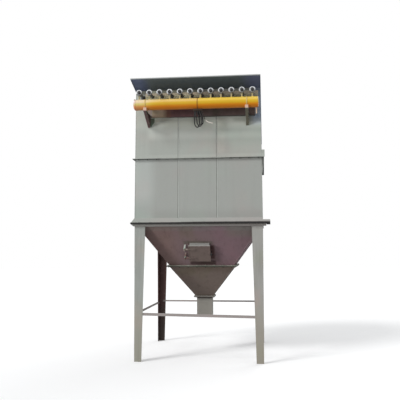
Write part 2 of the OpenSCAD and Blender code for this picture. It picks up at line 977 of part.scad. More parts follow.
// A round tube along a route that leaves the clip downwards, with its sections set across the route
module cable(route, r) {
    sides = 8;
    last = len(route) - 1;
    pts = [for (p = route) [clip_x + p[0], header_y + p[1], clip_z - p[2]]];
    end_way = route[last][2] == 0 ? [0, 0, 1] : (pts[last] - pts[last - 1]) / norm(pts[last] - pts[last - 1]);
    function way(k) =
        k == 0 ? [0, 0, -1] : k == last ? end_way : (pts[k + 1] - pts[k - 1]) / norm(pts[k + 1] - pts[k - 1]);
    function flat(k) = [way(k)[2], 0, -way(k)[0]] / norm([way(k)[2], 0, -way(k)[0]]);
    rings = [
        for (k = [0:last], s = [0:sides - 1])
            pts[k] + r * (cos(360 * s / sides) * flat(k) + sin(360 * s / sides) * cross(way(k), flat(k)))
    ];
    polyhedron(
        points = rings,
        faces = concat(
            [[for (s = [sides - 1:-1:0]) s]],
            [for (k = [0:last - 1], s = [0:sides - 1]) [
                k * sides + s, k * sides + (s + 1) % sides,
                (k + 1) * sides + (s + 1) % sides
            ]],
            [for (k = [0:last - 1], s = [0:sides - 1]) [
                k * sides + s, (k + 1) * sides + (s + 1) % sides, (k + 1) * sides + s
            ]],
            [[for (s = [0:sides - 1]) last * sides + s]]
        )
    );
}

module cable_left() {
    color(black) at_body() cable(left_route, cable_r);
}

module cable_middle() {
    color(black) at_body() cable(middle_route, cable_r);
}

module cable_right() {
    color(black) at_body() cable(right_route, cable_r);
}

module cable_stripped() {
    color(black) at_body() cable(stripped_route, wire_r);
}

leg_front_left();
leg_front_right();
leg_rear_left();
leg_rear_right();
brace_front();
brace_rear();
brace_left();
brace_right();
support_frame();
upper_hopper();
hopper_flange();
lower_hopper();
outlet_flange();
discharge_chute();
hatch_neck();
hatch_door();
hatch_latch();
base_flange();
corner_lug();
lower_front_wall();
lower_rear_wall();
lower_left_wall();
lower_right_wall();
mid_flange();
side_gusset();
upper_front_wall();
upper_rear_wall();
upper_left_wall();
upper_right_wall();
roof();
valve_rail();
header_rail();
header_tank();
header_fittings();
header_straps();
header_brackets();
blow_pipes();
cable_left();
cable_middle();
cable_right();
cable_stripped();
for (i = [1:valve_n])
    pulse_valve(i);
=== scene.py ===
import json
import math

import bpy
import numpy as np
from mathutils import Matrix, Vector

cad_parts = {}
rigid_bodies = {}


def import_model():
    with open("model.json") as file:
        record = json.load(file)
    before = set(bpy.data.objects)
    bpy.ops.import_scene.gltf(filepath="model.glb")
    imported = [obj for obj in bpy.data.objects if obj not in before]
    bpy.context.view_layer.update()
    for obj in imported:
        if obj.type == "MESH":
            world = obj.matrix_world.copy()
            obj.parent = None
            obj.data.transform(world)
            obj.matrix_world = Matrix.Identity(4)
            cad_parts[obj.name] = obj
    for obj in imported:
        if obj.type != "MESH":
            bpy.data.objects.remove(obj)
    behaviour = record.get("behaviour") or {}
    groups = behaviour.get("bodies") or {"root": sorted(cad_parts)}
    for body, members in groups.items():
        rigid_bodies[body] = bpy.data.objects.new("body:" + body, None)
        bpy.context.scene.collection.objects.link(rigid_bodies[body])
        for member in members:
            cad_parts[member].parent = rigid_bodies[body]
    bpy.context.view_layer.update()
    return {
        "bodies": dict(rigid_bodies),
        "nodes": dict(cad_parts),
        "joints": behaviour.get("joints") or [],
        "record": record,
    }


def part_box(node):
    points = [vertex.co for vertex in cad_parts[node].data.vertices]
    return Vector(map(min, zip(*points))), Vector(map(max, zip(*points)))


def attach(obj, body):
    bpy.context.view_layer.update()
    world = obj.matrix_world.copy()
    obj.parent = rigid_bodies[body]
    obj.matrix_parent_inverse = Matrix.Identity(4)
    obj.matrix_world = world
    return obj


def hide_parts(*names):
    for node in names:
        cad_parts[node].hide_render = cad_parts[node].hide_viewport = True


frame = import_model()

scene = bpy.context.scene
rng = np.random.default_rng(7)


# Lowest and highest corner of one CAD node, as arrays
def cornersOf(node):
    low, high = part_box(node)
    return np.array(low), np.array(high)


wallLow, wallHigh = cornersOf("upper_front_wall")
lowerLow, lowerHigh = cornersOf("lower_front_wall")
rearHigh = cornersOf("upper_rear_wall")[1]
tankLow, tankHigh = cornersOf("header_tank")
baseLow, baseHigh = cornersOf("base_flange")
bodyX = (wallLow[0] + wallHigh[0]) / 2  # the casing's own middle
bodyY = (wallLow[1] + rearHigh[1]) / 2
halfW = (wallHigh[0] - wallLow[0]) / 2
halfD = (rearHigh[1] - wallLow[1]) / 2
frontY = wallLow[1]
headerY, headerZ = (tankLow[1:] + tankHigh[1:]) / 2
headerR = (tankHigh[2] - tankLow[2]) / 2
clipZ = cornersOf("cable_left")[1][2]
clipX = bodyX + 0.033  # the cable clip sits a little to the right of the header's middle
bandTop = baseHigh[2]
plateTop = lowerLow[2]  # the base flange is a plate under the lower walls, with a band round their foot
plateThick = plateTop - baseLow[2]
print("frame read, casing", round(2 * halfW, 3), "x", round(2 * halfD, 3), "m")


# Camera: right, up and back are the columns of its matrix, turned by yaw, pitch and roll
cameraSetup = {
    "fromCasing": (0.9636, -9.7967), "height": 1.5938, "yaw": -6.2643, "pitch": 8.5467, "roll": -0.1509,
    "lens": 53.44, "sensor": 36, "shift": (0.0051, -0.0981), "clip": (0.1, 200),
}


# An object in the scene, with the directions of its own axes and its place
def setDown(name, data, axes=np.eye(3), place=(0, 0, 0)):
    made = bpy.data.objects.new(name, data)
    scene.collection.objects.link(made)
    made.matrix_world = Matrix([*np.column_stack([*axes, place]).tolist(), [0, 0, 0, 1]])
    return made


def makeCamera(setup):
    yaw, pitch, roll = (math.radians(setup[k]) for k in ("yaw", "pitch", "roll"))
    ahead = np.array([math.sin(yaw) * math.cos(pitch), math.cos(yaw) * math.cos(pitch), math.sin(pitch)])
    level = np.array([math.cos(yaw), -math.sin(yaw), 0])
    rise = np.cross(level, ahead)
    right = level * math.cos(roll) + rise * math.sin(roll)
    up = rise * math.cos(roll) - level * math.sin(roll)
    place = (bodyX + setup["fromCasing"][0], bodyY + setup["fromCasing"][1], setup["height"])
    data = bpy.data.cameras.new("camera")
    data.lens, data.sensor_width = setup["lens"], setup["sensor"]
    data.shift_x, data.shift_y = setup["shift"]
    data.clip_start, data.clip_end = setup["clip"]
    scene.camera = setDown("camera", data, (right, up, -ahead), place)


makeCamera(cameraSetup)
scene.view_settings.view_transform = "Standard"


# A colour written as on a paint chart, 0 to 255, as linear light
def tint(red, green, blue):
    chart = np.array([red, green, blue]) / 255
    linear = np.where(chart > 0.04045, ((chart + 0.055) / 1.055) ** 2.4, chart / 12.92)
    return (*linear.tolist(), 1.0)


# A shader node with its sockets and settings; a socket given to a socket is a link
def put(tree, kind, sockets=None, **settings):
    node = tree.nodes.new("ShaderNode" + kind)
    for key, value in settings.items():
        setattr(node, key, value)
    for key, value in (sockets or {}).items():
        if isinstance(value, bpy.types.NodeSocket):
            tree.links.new(value, node.inputs[key])
        else:
            node.inputs[key].default_value = value
    return node


# One sum, product or other step of reckoning on a value, or on two
def reckon(tree, operation, first, second=0.0):
    return put(tree, "Math", {0: first, 1: second}, operation=operation).outputs[0]


def newMaterial(name):
    material = bpy.data.materials.new(name)
    material.use_nodes = True
    material.node_tree.nodes.clear()
    return material, material.node_tree


# Light: a world, a wide key from the upper left in front, a low light under it and a weak fill from behind.
# Each comes from an azimuth, 0 in front and below 0 at the left, and a height, in degrees
lightSetup = {
    "world": 0.62, "worldTint": (0.97, 0.985, 1, 1),
    "key": {"strength": 1.6, "angle": 18, "from": (-44, 38)},
    "low": {"strength": 1.0, "angle": 14, "from": (-46, 4)},
    "fill": {"strength": 0.7, "angle": 40, "from": (150, 35)},
}
floorSetup = {"radius": 45, "sides": 96, "drop": 0.002, "seen": 0.86, "glow": 0.16, "bounce": 0.28}
white = (1, 1, 1, 1)


def makeSun(name, look):
    azimuth, height = (math.radians(v) for v in look["from"])
    data = bpy.data.lights.new(name, "SUN")
    data.energy, data.angle = look["strength"], math.radians(look["angle"])
    level = math.cos(height)
    back = np.array([math.sin(azimuth) * level, -math.cos(azimuth) * level, math.sin(height)])
    side = np.cross([0, 0, 1], back)
    side /= np.linalg.norm(side)
    setDown(name, data, (side, np.cross(back, side), back))


def makeLight(setup):
    world = bpy.data.worlds.new("studio")
    scene.world = world
    world.use_nodes = True
    tree = world.node_tree
    tree.nodes.clear()
    rays = put(tree, "LightPath").outputs
    seen = reckon(tree, "MAXIMUM", rays["Is Camera Ray"], rays["Is Glossy Ray"])
    seen = reckon(tree, "MAXIMUM", seen, rays["Is Transmission Ray"])
    lit = put(tree, "Background", {"Color": setup["worldTint"], "Strength": setup["world"]})
    shown = put(tree, "Background", {"Color": white, "Strength": 1.0})
    both = put(tree, "MixShader", {0: seen, 1: lit.outputs[0], 2: shown.outputs[0]})
    put(tree, "OutputWorld", {"Surface": both.outputs[0]})
    for lamp in ("key", "low", "fill"):
        makeSun(lamp + "Light", setup[lamp])


# Floor: a flat disc, pale where the camera looks at it and duller for the light it throws back
def makeFloor(setup):
    turns = np.linspace(0, 2 * math.pi, setup["sides"], endpoint=False)
    edge = setup["radius"] * np.stack([np.cos(turns), np.sin(turns), 0 * turns], axis=1)
    edge[:, 2] = -setup["drop"]
    mesh = bpy.data.meshes.new("floor")
    mesh.from_pydata(edge.tolist(), [], [list(range(setup["sides"]))])
    floor = setDown("floor", mesh)
    material, tree = newMaterial("pale_floor")
    rays = put(tree, "LightPath").outputs
    seen = put(tree, "BsdfDiffuse", {"Color": (setup["seen"],) * 3 + (1,)})
    glow = put(tree, "Emission", {"Color": white, "Strength": setup["glow"]})
    seen = put(tree, "AddShader", {0: seen.outputs[0], 1: glow.outputs[0]})
    thrown = put(tree, "BsdfDiffuse", {"Color": (setup["bounce"],) * 3 + (1,)})
    both = put(tree, "MixShader", {0: rays["Is Camera Ray"], 1: thrown.outputs[0], 2: seen.outputs[0]})
    put(tree, "OutputMaterial", {"Surface": both.outputs[0]})
    mesh.materials.append(material)


makeLight(lightSetup)
makeFloor(floorSetup)
print("camera, light and floor made")


# A shape is a dictionary of points and of face groups, each group an array of faces of as many corners

# Quads between the neighbouring rows and columns of a grid of points, round in its columns
def roundGrid(rows, columns, closed=False):
    row, column = np.meshgrid(np.arange(rows if closed else rows - 1), np.arange(columns), indexing="ij")
    after, below = (column + 1) % columns, (row + 1) % rows
    return np.stack([row * columns + column, row * columns + after,
                     below * columns + after, below * columns + column], axis=-1).reshape(-1, 4)


# A closed skin over rings of points: rings is (rows, columns, 3), the two end rings are capped
def skin(rings):
    rows, columns = rings.shape[:2]
    caps = np.stack([np.arange(columns)[::-1], (rows - 1) * columns + np.arange(columns)])
    return {"points": rings.reshape(-1, 3), "faces": [roundGrid(rows, columns), caps]}


# A profile of (radius, height) pairs turned about Z: x = r cos t, y = r sin t, z = h
def turned(profile, sides):
    profile = np.array(profile, float)
    angle = np.arange(sides) * 2 * math.pi / sides
    x = profile[:, :1] * np.cos(angle)
    y = profile[:, :1] * np.sin(angle)
    z = np.repeat(profile[:, 1:], sides, axis=1)
    return skin(np.stack([x, y, z], axis=-1))


# A box with chamfered upright edges: an eight-sided outline at two levels, between two corners
def block(low, high, chamfer):
    low, high = np.array(low, float), np.array(high, float)
    c = chamfer
    x = np.array([low[0] + c, high[0] - c, high[0], high[0], high[0] - c, low[0] + c, low[0], low[0]])
    y = np.array([low[1], low[1], low[1] + c, high[1] - c, high[1], high[1], high[1] - c, low[1] + c])
    return skin(np.stack([np.stack([x, y, np.full(8, z)], axis=1) for z in (low[2], high[2])]))


# Several shapes as one: the face numbers of each are moved on by the points before it
def joined(shapes):
    points, faces, count = [], [], 0
    for shape in shapes:
        points.append(shape["points"])
        faces += [group + count for group in shape["faces"]]
        count += len(shape["points"])
    return {"points": np.concatenate(points), "faces": faces}


# Copies of a shape, one at each place: place + frame @ point
def copies(shape, places, frame=np.eye(3)):
    places = np.atleast_2d(np.array(places, float))
    points = places[:, None] + np.einsum("ij,kj->ki", frame, shape["points"])
    step = len(shape["points"]) * np.arange(len(places))[:, None, None]
    faces = [(group[None] + step).reshape(-1, group.shape[1]) for group in shape["faces"]]
    return {"points": points.reshape(-1, 3), "faces": faces}


# A round bar along a path: ring = path + r (cos t side + sin t lift), side = way x across
def tube(path, radius, sides, across=(0, 1, 0), closed=False):
    path = np.array(path, float)
    way = np.roll(path, -1, 0) - np.roll(path, 1, 0) if closed else np.gradient(path, axis=0)
    way /= np.linalg.norm(way, axis=1, keepdims=True)
    side = np.cross(way, across)
    side /= np.linalg.norm(side, axis=1, keepdims=True)
    lift = np.cross(way, side)
    angle = np.arange(sides) * 2 * math.pi / sides
    radius = np.broadcast_to(np.array(radius, float), (len(path),))[:, None, None]
    ring = np.cos(angle)[None, :, None] * side[:, None] + np.sin(angle)[None, :, None] * lift[:, None]
    rings = path[:, None] + radius * ring
    if closed:
        return {"points": rings.reshape(-1, 3), "faces": [roundGrid(len(path), sides, True)]}
    return skin(rings)


# Points on a smooth curve through the route: each stretch is a cubic of its four nearest points
def smoothed(route, steps):
    route = np.array(route, float)
    ends = np.concatenate([2 * route[:1] - route[1:2], route, 2 * route[-1:] - route[-2:-1]])
    a, b, c, d = ends[:-3, None], ends[1:-2, None], ends[2:-1, None], ends[3:, None]
    t = (np.arange(steps) / steps)[None, :, None]
    curve = 0.5 * (2 * b + (c - a) * t + (2 * a - 5 * b + 4 * c - d) * t**2 + (3 * b - 3 * c + d - a) * t**3)
    return np.concatenate([curve.reshape(-1, 3), route[-1:]])


# A mesh object of one shape that rides on a body
def piece(name, shape, material, body="filter", smooth=False):
    mesh = bpy.data.meshes.new(name)
    faces = [face for group in shape["faces"] for face in group.tolist()]
    mesh.from_pydata(shape["points"].tolist(), [], faces)
    mesh.update()
    if smooth:
        mesh.shade_smooth()
    made = setDown(name, mesh)
    mesh.materials.append(material)
    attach(made, body)
    return made


# Frames that turn a shape's own Z to a direction, as 3x3 arrays with x, y and z as columns
def facing(direction, across=(1, 0, 0)):
    z = np.array(direction, float)
    z /= np.linalg.norm(z)
    x = np.array(across, float) - np.dot(across, z) * z
    x /= np.linalg.norm(x)
    return np.stack([x, np.cross(z, x), z], axis=1)


# Object coordinates, moved and scaled, for the textures of a finish
def coordinates(tree, scale=(1, 1, 1), place=(0, 0, 0)):
    sockets = {"Vector": put(tree, "TexCoord").outputs["Object"], "Scale": scale, "Location": place}
    return put(tree, "Mapping", sockets).outputs[0]


def noise(tree, vector, scale, detail, roughness, distortion=0.0):
    sockets = {"Vector": vector, "Scale": scale, "Detail": detail, "Roughness": roughness,
               "Distortion": distortion}
    return put(tree, "TexNoise", sockets).outputs[0]


# A value taken smoothly from one range to another, held at the ends
def ranged(tree, value, low, high, toLow=0.0, toHigh=1.0):
    sockets = {0: value, 1: low, 2: high, 3: toLow, 4: toHigh}
    return put(tree, "MapRange", sockets, interpolation_type="SMOOTHSTEP", clamp=True).outputs[0]


def mixed(tree, factor, first, second, mode="MIX"):
    return put(tree, "Mix", {0: factor, 6: first, 7: second}, data_type="RGBA", blend_type=mode).outputs[2]


def splitUp(tree, vector):
    return put(tree, "SeparateXYZ", {0: vector}).outputs


# Edges of a body: how far the rounded normal leaves the flat one
def edgeMask(tree, radius):
    soft = put(tree, "Bevel", {"Radius": radius}, samples=4).outputs[0]
    flat = put(tree, "NewGeometry").outputs["Normal"]
    likeness = put(tree, "VectorMath", {0: soft, 1: flat}, operation="DOT_PRODUCT").outputs["Value"]
    return ranged(tree, likeness, 0.985, 0.90)


def shaderOf(tree, colour, roughness, metallic, bump, specular=0.5):
    sockets = {"Base Color": colour, "Roughness": roughness, "Metallic": metallic,
               "Specular IOR Level": specular, "Normal": bump}
    shader = put(tree, "BsdfPrincipled", sockets)
    put(tree, "OutputMaterial", {"Surface": shader.outputs[0]})


def bumped(tree, height, strength, distance, normal=None):
    sockets = {"Height": height, "Strength": strength, "Distance": distance}
    if normal is not None:
        sockets["Normal"] = normal
    return put(tree, "Bump", sockets).outputs[0]


# Bands of height for shades, measured from a level of the frame
def heights(level):
    return lambda start, end: ("z", level + start, level + end)


# Shades that come in along an axis, most of them painted light and shade, the rest tone of the paint.
# Each is (times, band, band, ...): times multiplies the colour as on a paint chart, and a band is
# (axis, from, to), nothing at from and all at to. Axes x and y start at the casing's middle, z at the
# ground; "up" and "side" are the z and x parts of the normal
def shaded(tree, spot, colour, shades):
    places = splitUp(tree, spot)
    lean = splitUp(tree, put(tree, "NewGeometry").outputs["Normal"])
    along = {"x": reckon(tree, "SUBTRACT", places[0], bodyX), "y": reckon(tree, "SUBTRACT", places[1], bodyY),
             "z": places[2], "up": lean[2], "side": lean[0]}
    for times, *bands in shades:
        strength = 1.0
        for axis, start, end in bands:
            strength = reckon(tree, "MULTIPLY", ranged(tree, along[axis], start, end), strength)
        tints = (*(np.broadcast_to(times, 3) ** 2.2).tolist(), 1.0)
        colour = mixed(tree, strength, colour, tints, "MULTIPLY")
    return colour


# Noises that all coats share: scale, detail and roughness, then where one begins to show and where it is full
coatNoises = {
    "streak": ((14, 4, 0.6), (0.48, 0.75)), "rub": ((26, 3, 0.6), (0.35, 0.6)),
    "speck": ((38, 6, 0.7), (0.66, 0.74)), "where": ((2.3, 2, 0.5), (0.45, 0.65)),
}
coatSetup = {
    "drift": (3, 0.5, 0.4), "driftSpan": (0.50, 0.72), "secondDrift": (3.1, 7.7, 1.9),
    "smear": (9, 5, 0.65, 0.6), "smearSpan": (0.52, 0.78), "streakStretch": (1, 1, 0.07),
    "ragged": 0.12, "edgeWidth": 0.006, "rust": (110, 74, 52), "glossier": 0.07, "duller": 0.12,
    "wave": (1.7, 2, 0.4), "waveDepth": 0.02, "grain": (180, 3, 0.6), "grainMost": 0.18, "grainDepth": 0.0015,
}


# Brushed or sprayed coat on steel plate: two drifting tints, streaks that run down, dirt, rubbed
# edges and specks of rust, all as strengths in the look; on flanges and rails the rubbed edges also
# stand in as painted highlights, and the look's shades paint in light and shade
def coatedSteel(name, look):
    material, tree = newMaterial(name)
    coat = coatSetup
    spot = coordinates(tree)
    colour, dirt = tint(*look["base"]), tint(*look["dirt"])

    # How far a shared noise shows, up to most
    def spread(kind, most=1.0, places=spot):
        settings, span = coatNoises[kind]
        return ranged(tree, noise(tree, places, *settings), *span, 0, most)

    for part, places in (("Warm", spot), ("Cool", coordinates(tree, place=coat["secondDrift"]))):
        drift = noise(tree, places, look["driftScale"], *coat["drift"])
        amount = ranged(tree, drift, *coat["driftSpan"], 0, look["drift" + part])
        colour = mixed(tree, amount, colour, tint(*look[part.lower()]))
    if look["streaks"]:
        runs = spread("streak", look["streaks"], coordinates(tree, coat["streakStretch"]))
        colour = mixed(tree, runs, colour, dirt, "MULTIPLY")
    smear = noise(tree, spot, *coat["smear"])
    colour = mixed(tree, ranged(tree, smear, *coat["smearSpan"], 0, look["smears"]), colour, dirt)
    if look.get("foot"):
        low, high, most = look["foot"]
        uneven = ranged(tree, smear, 0.2, 0.8, -coat["ragged"], coat["ragged"])
        height = reckon(tree, "ADD", splitUp(tree, spot)[2], uneven)
        colour = mixed(tree, ranged(tree, height, high, low, 0, most), colour, tint(*look["footTint"]))
    if look.get("seams"):
        colour = look["seams"](tree, spot, colour)
    if look["edges"]:
        rim = reckon(tree, "MULTIPLY", edgeMask(tree, coat["edgeWidth"]), spread("rub"))
        colour = mixed(tree, reckon(tree, "MULTIPLY", rim, look["edges"]), colour, tint(*look["rim"]))
    if look["rust"]:
        amount = reckon(tree, "MULTIPLY", spread("speck"), spread("where"))
        colour = mixed(tree, reckon(tree, "MULTIPLY", amount, look["rust"]), colour, tint(*coat["rust"]))
    # painted light and shade, and some tone, from the look's shades
    if look.get("shades"):
        colour = shaded(tree, spot, colour, look["shades"])
    gloss = look["roughness"]
    rough = ranged(tree, smear, 0.3, 0.8, gloss - coat["glossier"], gloss + coat["duller"])
    normal = bumped(tree, noise(tree, spot, *coat["wave"]), look["waves"], coat["waveDepth"])
    grain = noise(tree, spot, *coat["grain"])
    normal = bumped(tree, grain, coat["grainMost"], coat["grainDepth"], normal)
    shaderOf(tree, colour, rough, 0.0, normal, look["specular"])
    return material


def dress(material, *nodes):
    for node in nodes:
        cad = bpy.data.objects[node]
        cad.data.materials.clear()
        cad.data.materials.append(material)


# A look that is like another, but for its base, warm and cool tints and other changes
def toned(like, base, warm, cool, **changes):
    return {**like, "base": base, "warm": warm, "cool": cool, **changes}


# Makes a coat and lays it on CAD nodes
def paintOn(name, look, *nodes):
    material = coatedSteel(name, look)
    dress(material, *nodes)
    return material


# Cables: black rubber with a soft shine; the stripped one has a bare, pale end
cableFinish = {"colour": (14, 12, 12), "dust": (34, 28, 26), "roughness": 0.65}
strippedFinish = {**cableFinish, "bareFrom": 0.15, "bareBlend": 0.01, "bare": (222, 216, 206)}


def rubber(name, look):
    material, tree = newMaterial(name)
    spot = coordinates(tree)
    dust = noise(tree, spot, 30, 4, 0.6)
    colour = mixed(tree, ranged(tree, dust, 0.5, 0.8, 0, 0.5), tint(*look["colour"]), tint(*look["dust"]))
    if look.get("bare"):
        along = reckon(tree, "SUBTRACT", splitUp(tree, spot)[0], bodyX)
        start, end = look["bareFrom"] - look["bareBlend"], look["bareFrom"] + look["bareBlend"]
        colour = mixed(tree, ranged(tree, along, start, end), colour, tint(*look["bare"]))
    normal = bumped(tree, noise(tree, spot, 420, 2, 0.5), 0.3, 0.0006)
    shaderOf(tree, colour, look["roughness"], 0.0, normal)
    return material


cableRubber = rubber("cable_rubber", cableFinish)
strippedRubber = rubber("stripped_rubber", strippedFinish)

# Routes of the signal cables, as across, along and drop from the middle of the clip's underside, in metres
cableRoutes = {
    "cable_left": [
        (-0.0425, 0, 0), (-0.044, -0.001, 0.040), (-0.046, -0.002, 0.085), (-0.048, -0.002, 0.130),
        (-0.046, -0.002, 0.175), (-0.038, -0.002, 0.215), (-0.018, -0.002, 0.243), (0.006, -0.002, 0.246),
        (0.024, -0.002, 0.222), (0.032, -0.002, 0.180), (0.028, -0.002, 0.130), (0.016, -0.001, 0.082),
        (0, 0, 0.038), (-0.0085, 0, 0)],
    "cable_middle": [
        (-0.0255, 0, 0), (-0.025, -0.019, 0.042), (-0.020, -0.027, 0.090), (-0.012, -0.029, 0.140),
        (-0.004, -0.029, 0.190), (0.014, -0.028, 0.226), (0.038, -0.027, 0.240), (0.056, -0.026, 0.222),
        (0.062, -0.025, 0.180), (0.060, -0.023, 0.130), (0.052, -0.020, 0.082), (0.036, -0.013, 0.038),
        (0.0255, 0, 0)],
    "cable_right": [
        (0.0425, 0, 0), (0.050, 0.010, 0.038), (0.062, 0.018, 0.076), (0.072, 0.020, 0.116),
        (0.0765, 0.020, 0.150), (0.076, 0.020, 0.178), (0.0685, 0.020, 0.196), (0.051, 0.020, 0.203),
        (0.0335, 0.020, 0.196), (0.026, 0.020, 0.178), (0.0245, 0.020, 0.150), (0.024, 0.020, 0.098),
        (0.018, 0.015, 0.046), (0.0085, 0, 0)],
    "cable_stripped": [
        (0.060, 0, 0), (0.066, -0.004, 0.030), (0.078, -0.008, 0.062), (0.092, -0.010, 0.095),
        (0.106, -0.010, 0.125), (0.124, -0.010, 0.152), (0.148, -0.010, 0.171), (0.175, -0.010, 0.183),
        (0.200, -0.010, 0.190), (0.222, -0.010, 0.196)],
}
cableRadius = {"cable_left": 0.008, "cable_middle": 0.008, "cable_right": 0.008, "cable_stripped": 0.006}


def makeCables(routes, radii, material, stripped):
    for name, points in routes.items():
        route = np.array(points) * (1, 1, -1) + (clipX, headerY, clipZ)
        line = smoothed(route, 5)
        rubberOf = stripped if name == "cable_stripped" else material
        made = piece(name + "_run", tube(line, radii[name], 12), rubberOf, smooth=True)
        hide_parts(name)


makeCables(cableRoutes, cableRadius, cableRubber, strippedRubber)


# Casing walls: grey oil paint, slightly green, with pinkish drifts; dark dirt in the two sheet seams
wallLook = {
    "base": (158, 162, 157), "warm": (164, 158, 154), "cool": (157, 167, 158), "dirt": (138, 139, 130),
    "driftScale": 1.1, "driftWarm": 0.75, "driftCool": 0.7, "streaks": 0.05, "smears": 0.12,
    "rim": (186, 190, 184), "edges": 0.5, "rust": 0.3, "roughness": 0.46, "waves": 0.35, "specular": 0.4,
}
seamAt = 0.290  # distance of the seams from the middle of a wall
seamShift = -0.007  # both front seams sit a little to the left
seamDirt = {"tint": (70, 72, 66), "span": (0.007, 0.003), "most": 0.75}
overMid = heights(cornersOf("mid_flange")[0][2])
overRail = heights(cornersOf("valve_rail")[1][2])
upper, lower = overMid(-0.02, 0.04), overMid(0.04, -0.02)  # the two storeys
onFront = ("y", -0.90, -1.00)  # the front wall, fading out 0.05 to 0.15 m behind it
# Painted light and shade on the walls, as multipliers of their colour
wallLightAndShade = [
    # painted light and shade: the upper storey paler; the lower one duller, with a pale left edge above and a
    # dull strip at its foot
    ((1.06, 1.06, 1.05), upper),
    ((0.985, 0.975, 0.975), lower, ("x", -0.75, -0.60)),
    ((1.08, 1.08, 1.085), lower, overMid(-0.81, -0.49), ("x", -0.54, -0.82), ("y", -0.80, -1.04)),
    ((0.96, 0.955, 0.955), overMid(-0.71, -0.85), ("x", -0.75, -0.60), onFront),
    # painted light and shade in bands and patches on the upper front wall, from the middle flange up to the
    # header
    (0.965, overMid(0.33, 0.25), overMid(0.05, 0.08), ("x", -0.80, -0.70), onFront),
    (1.09, overMid(0.58, 0.51), overMid(0.27, 0.38), onFront, ("x", -0.80, -0.70)),
    (1.04, overMid(0.55, 0.49), overMid(0.41, 0.47), onFront, ("x", 0.20, 0.30)),
    ((1.06, 1.06, 1.05), overMid(0.05, 0.11), onFront, ("x", 0.275, 0.290), ("x", 0.46, 0.36)),
    ((0.91, 0.91, 0.90), overMid(0.53, 0.57), overMid(0.63, 0.59), onFront, ("x", 0.50, 0.58)),
    ((1.13, 1.13, 1.12), overMid(0.59, 0.63), onFront, ("x", -0.78, -0.72), ("x", -0.25, -0.34)),
    ((0.90, 0.90, 0.89), overMid(0.60, 0.64), onFront, ("x", 0.42, 0.52)),
    ((1.08, 1.08, 1.07), overMid(0.41, 0.55), onFront),
    ((0.92, 0.92, 0.91), overMid(0.41, 0.53), onFront, ("x", -0.60, -0.40), ("x", 0.36, 0.16)),
    ((1.16, 1.16, 1.15), overMid(0.51, 0.59), onFront, ("x", -0.52, -0.66), ("x", -0.79, -0.76)),
    # painted shadow behind the cables; beside the right bracket painted bluish sky light, and above it
    # painted shade at the wall's right edge
    ((0.76, 0.76, 0.75), overMid(0.45, 0.59), onFront, ("x", -0.14, 0.0), ("x", 0.15, 0.01)),
    ((1.03, 1.06, 1.18), overMid(0.45, 0.60), ("y", -0.97, -1.04), ("x", 0.76, 0.86)),
    ((0.84, 0.88, 0.94), overMid(0.58, 0.62), ("y", -0.97, -1.04), ("x", 0.84, 0.90)),
    # painted shade on the side gusset under the middle flange
    ((0.66, 0.66, 0.65), ("x", halfW + 0.003, halfW + 0.006), overMid(-0.20, -0.08), overMid(0.001, -0.001)),
    # painted shade left of the rail under the header, and painted shadow of the roof above the rail behind
    # the valves
    ((0.60, 0.53, 0.53), overMid(0.635, 0.65), overMid(0.81, 0.77), onFront, ("x", -0.78, -0.75),
     ("x", -0.655, -0.665)),
    ((0.76, 0.74, 0.71), overRail(-0.02, 0.01), onFront),
    ((0.88, 0.88, 0.92), overRail(-0.02, 0.01), onFront, ("x", 0.0, 0.12)),
]


# Dark in the grooves: near seamAt from the middle, across or along
def wallSeams(tree, spot, colour):
    axes = splitUp(tree, spot)
    for axis, middle in ((axes[0], bodyX + seamShift), (axes[1], bodyY)):
        away = reckon(tree, "ABSOLUTE", reckon(tree, "SUBTRACT", axis, middle))
        away = reckon(tree, "ABSOLUTE", reckon(tree, "SUBTRACT", away, seamAt))
        amount = ranged(tree, away, *seamDirt["span"], 0, seamDirt["most"])
        colour = mixed(tree, amount, colour, tint(*seamDirt["tint"]))
    return colour


walls = [n for n in frame["nodes"] if n.endswith("_wall")]
wallFinish = {**wallLook, "seams": wallSeams, "shades": wallLightAndShade}
wallPaint = paintOn("wall_paint", wallFinish, *walls, "side_gusset")

# Flanges: paler than the walls, with a dark edge on the base plate; painted shade in a thin strip just above
# that plate and at the foot of the middle flange; their rubbed edges also serve as painted highlights
overPlate = heights(plateTop)
midFootShade = (overMid(0.0068, 0.0048), overMid(-0.45, -0.35))
flangeShades = [
    ((0.965, 0.95, 0.955), overMid(-0.45, -0.65)),
    ((0.14, 0.125, 0.12), overPlate(0.001, -0.001), ("up", 0.6, 0.4)),
    ((0.55, 0.53, 0.53), overPlate(0.012, 0.006), overPlate(0, 0.001), ("x", -0.45, 0.05)),
    ((0.80, 0.82, 0.80), *midFootShade),
    (0.66, *midFootShade, ("x", -0.50, -0.60)),
    (0.72, *midFootShade, ("x", 0.35, 0.50)),
]
flangeLook = toned(wallLook, (170, 171, 166), (176, 168, 162), (164, 172, 164), edges=0.8, streaks=0.0,
                   rust=0.5, shades=flangeShades)
flangePaint = paintOn("flange_paint", flangeLook, "base_flange", "corner_lug", "mid_flange")

# Support frame: its plate is dark at the edge, under the base flange
overFrame = heights(cornersOf("support_frame")[1][2] - plateThick)
frameShades = [
    ((0.97, 0.92, 0.935),),
    (1.03, ("x", -0.35, -0.5)),
    ((0.15, 0.14, 0.13), overFrame(-0.003, -0.001), ("up", -0.6, -0.4)),
]
frameLook = {**wallLook, "base": (150, 153, 146), "shades": frameShades}
framePaint = paintOn("frame_paint", frameLook, "support_frame")

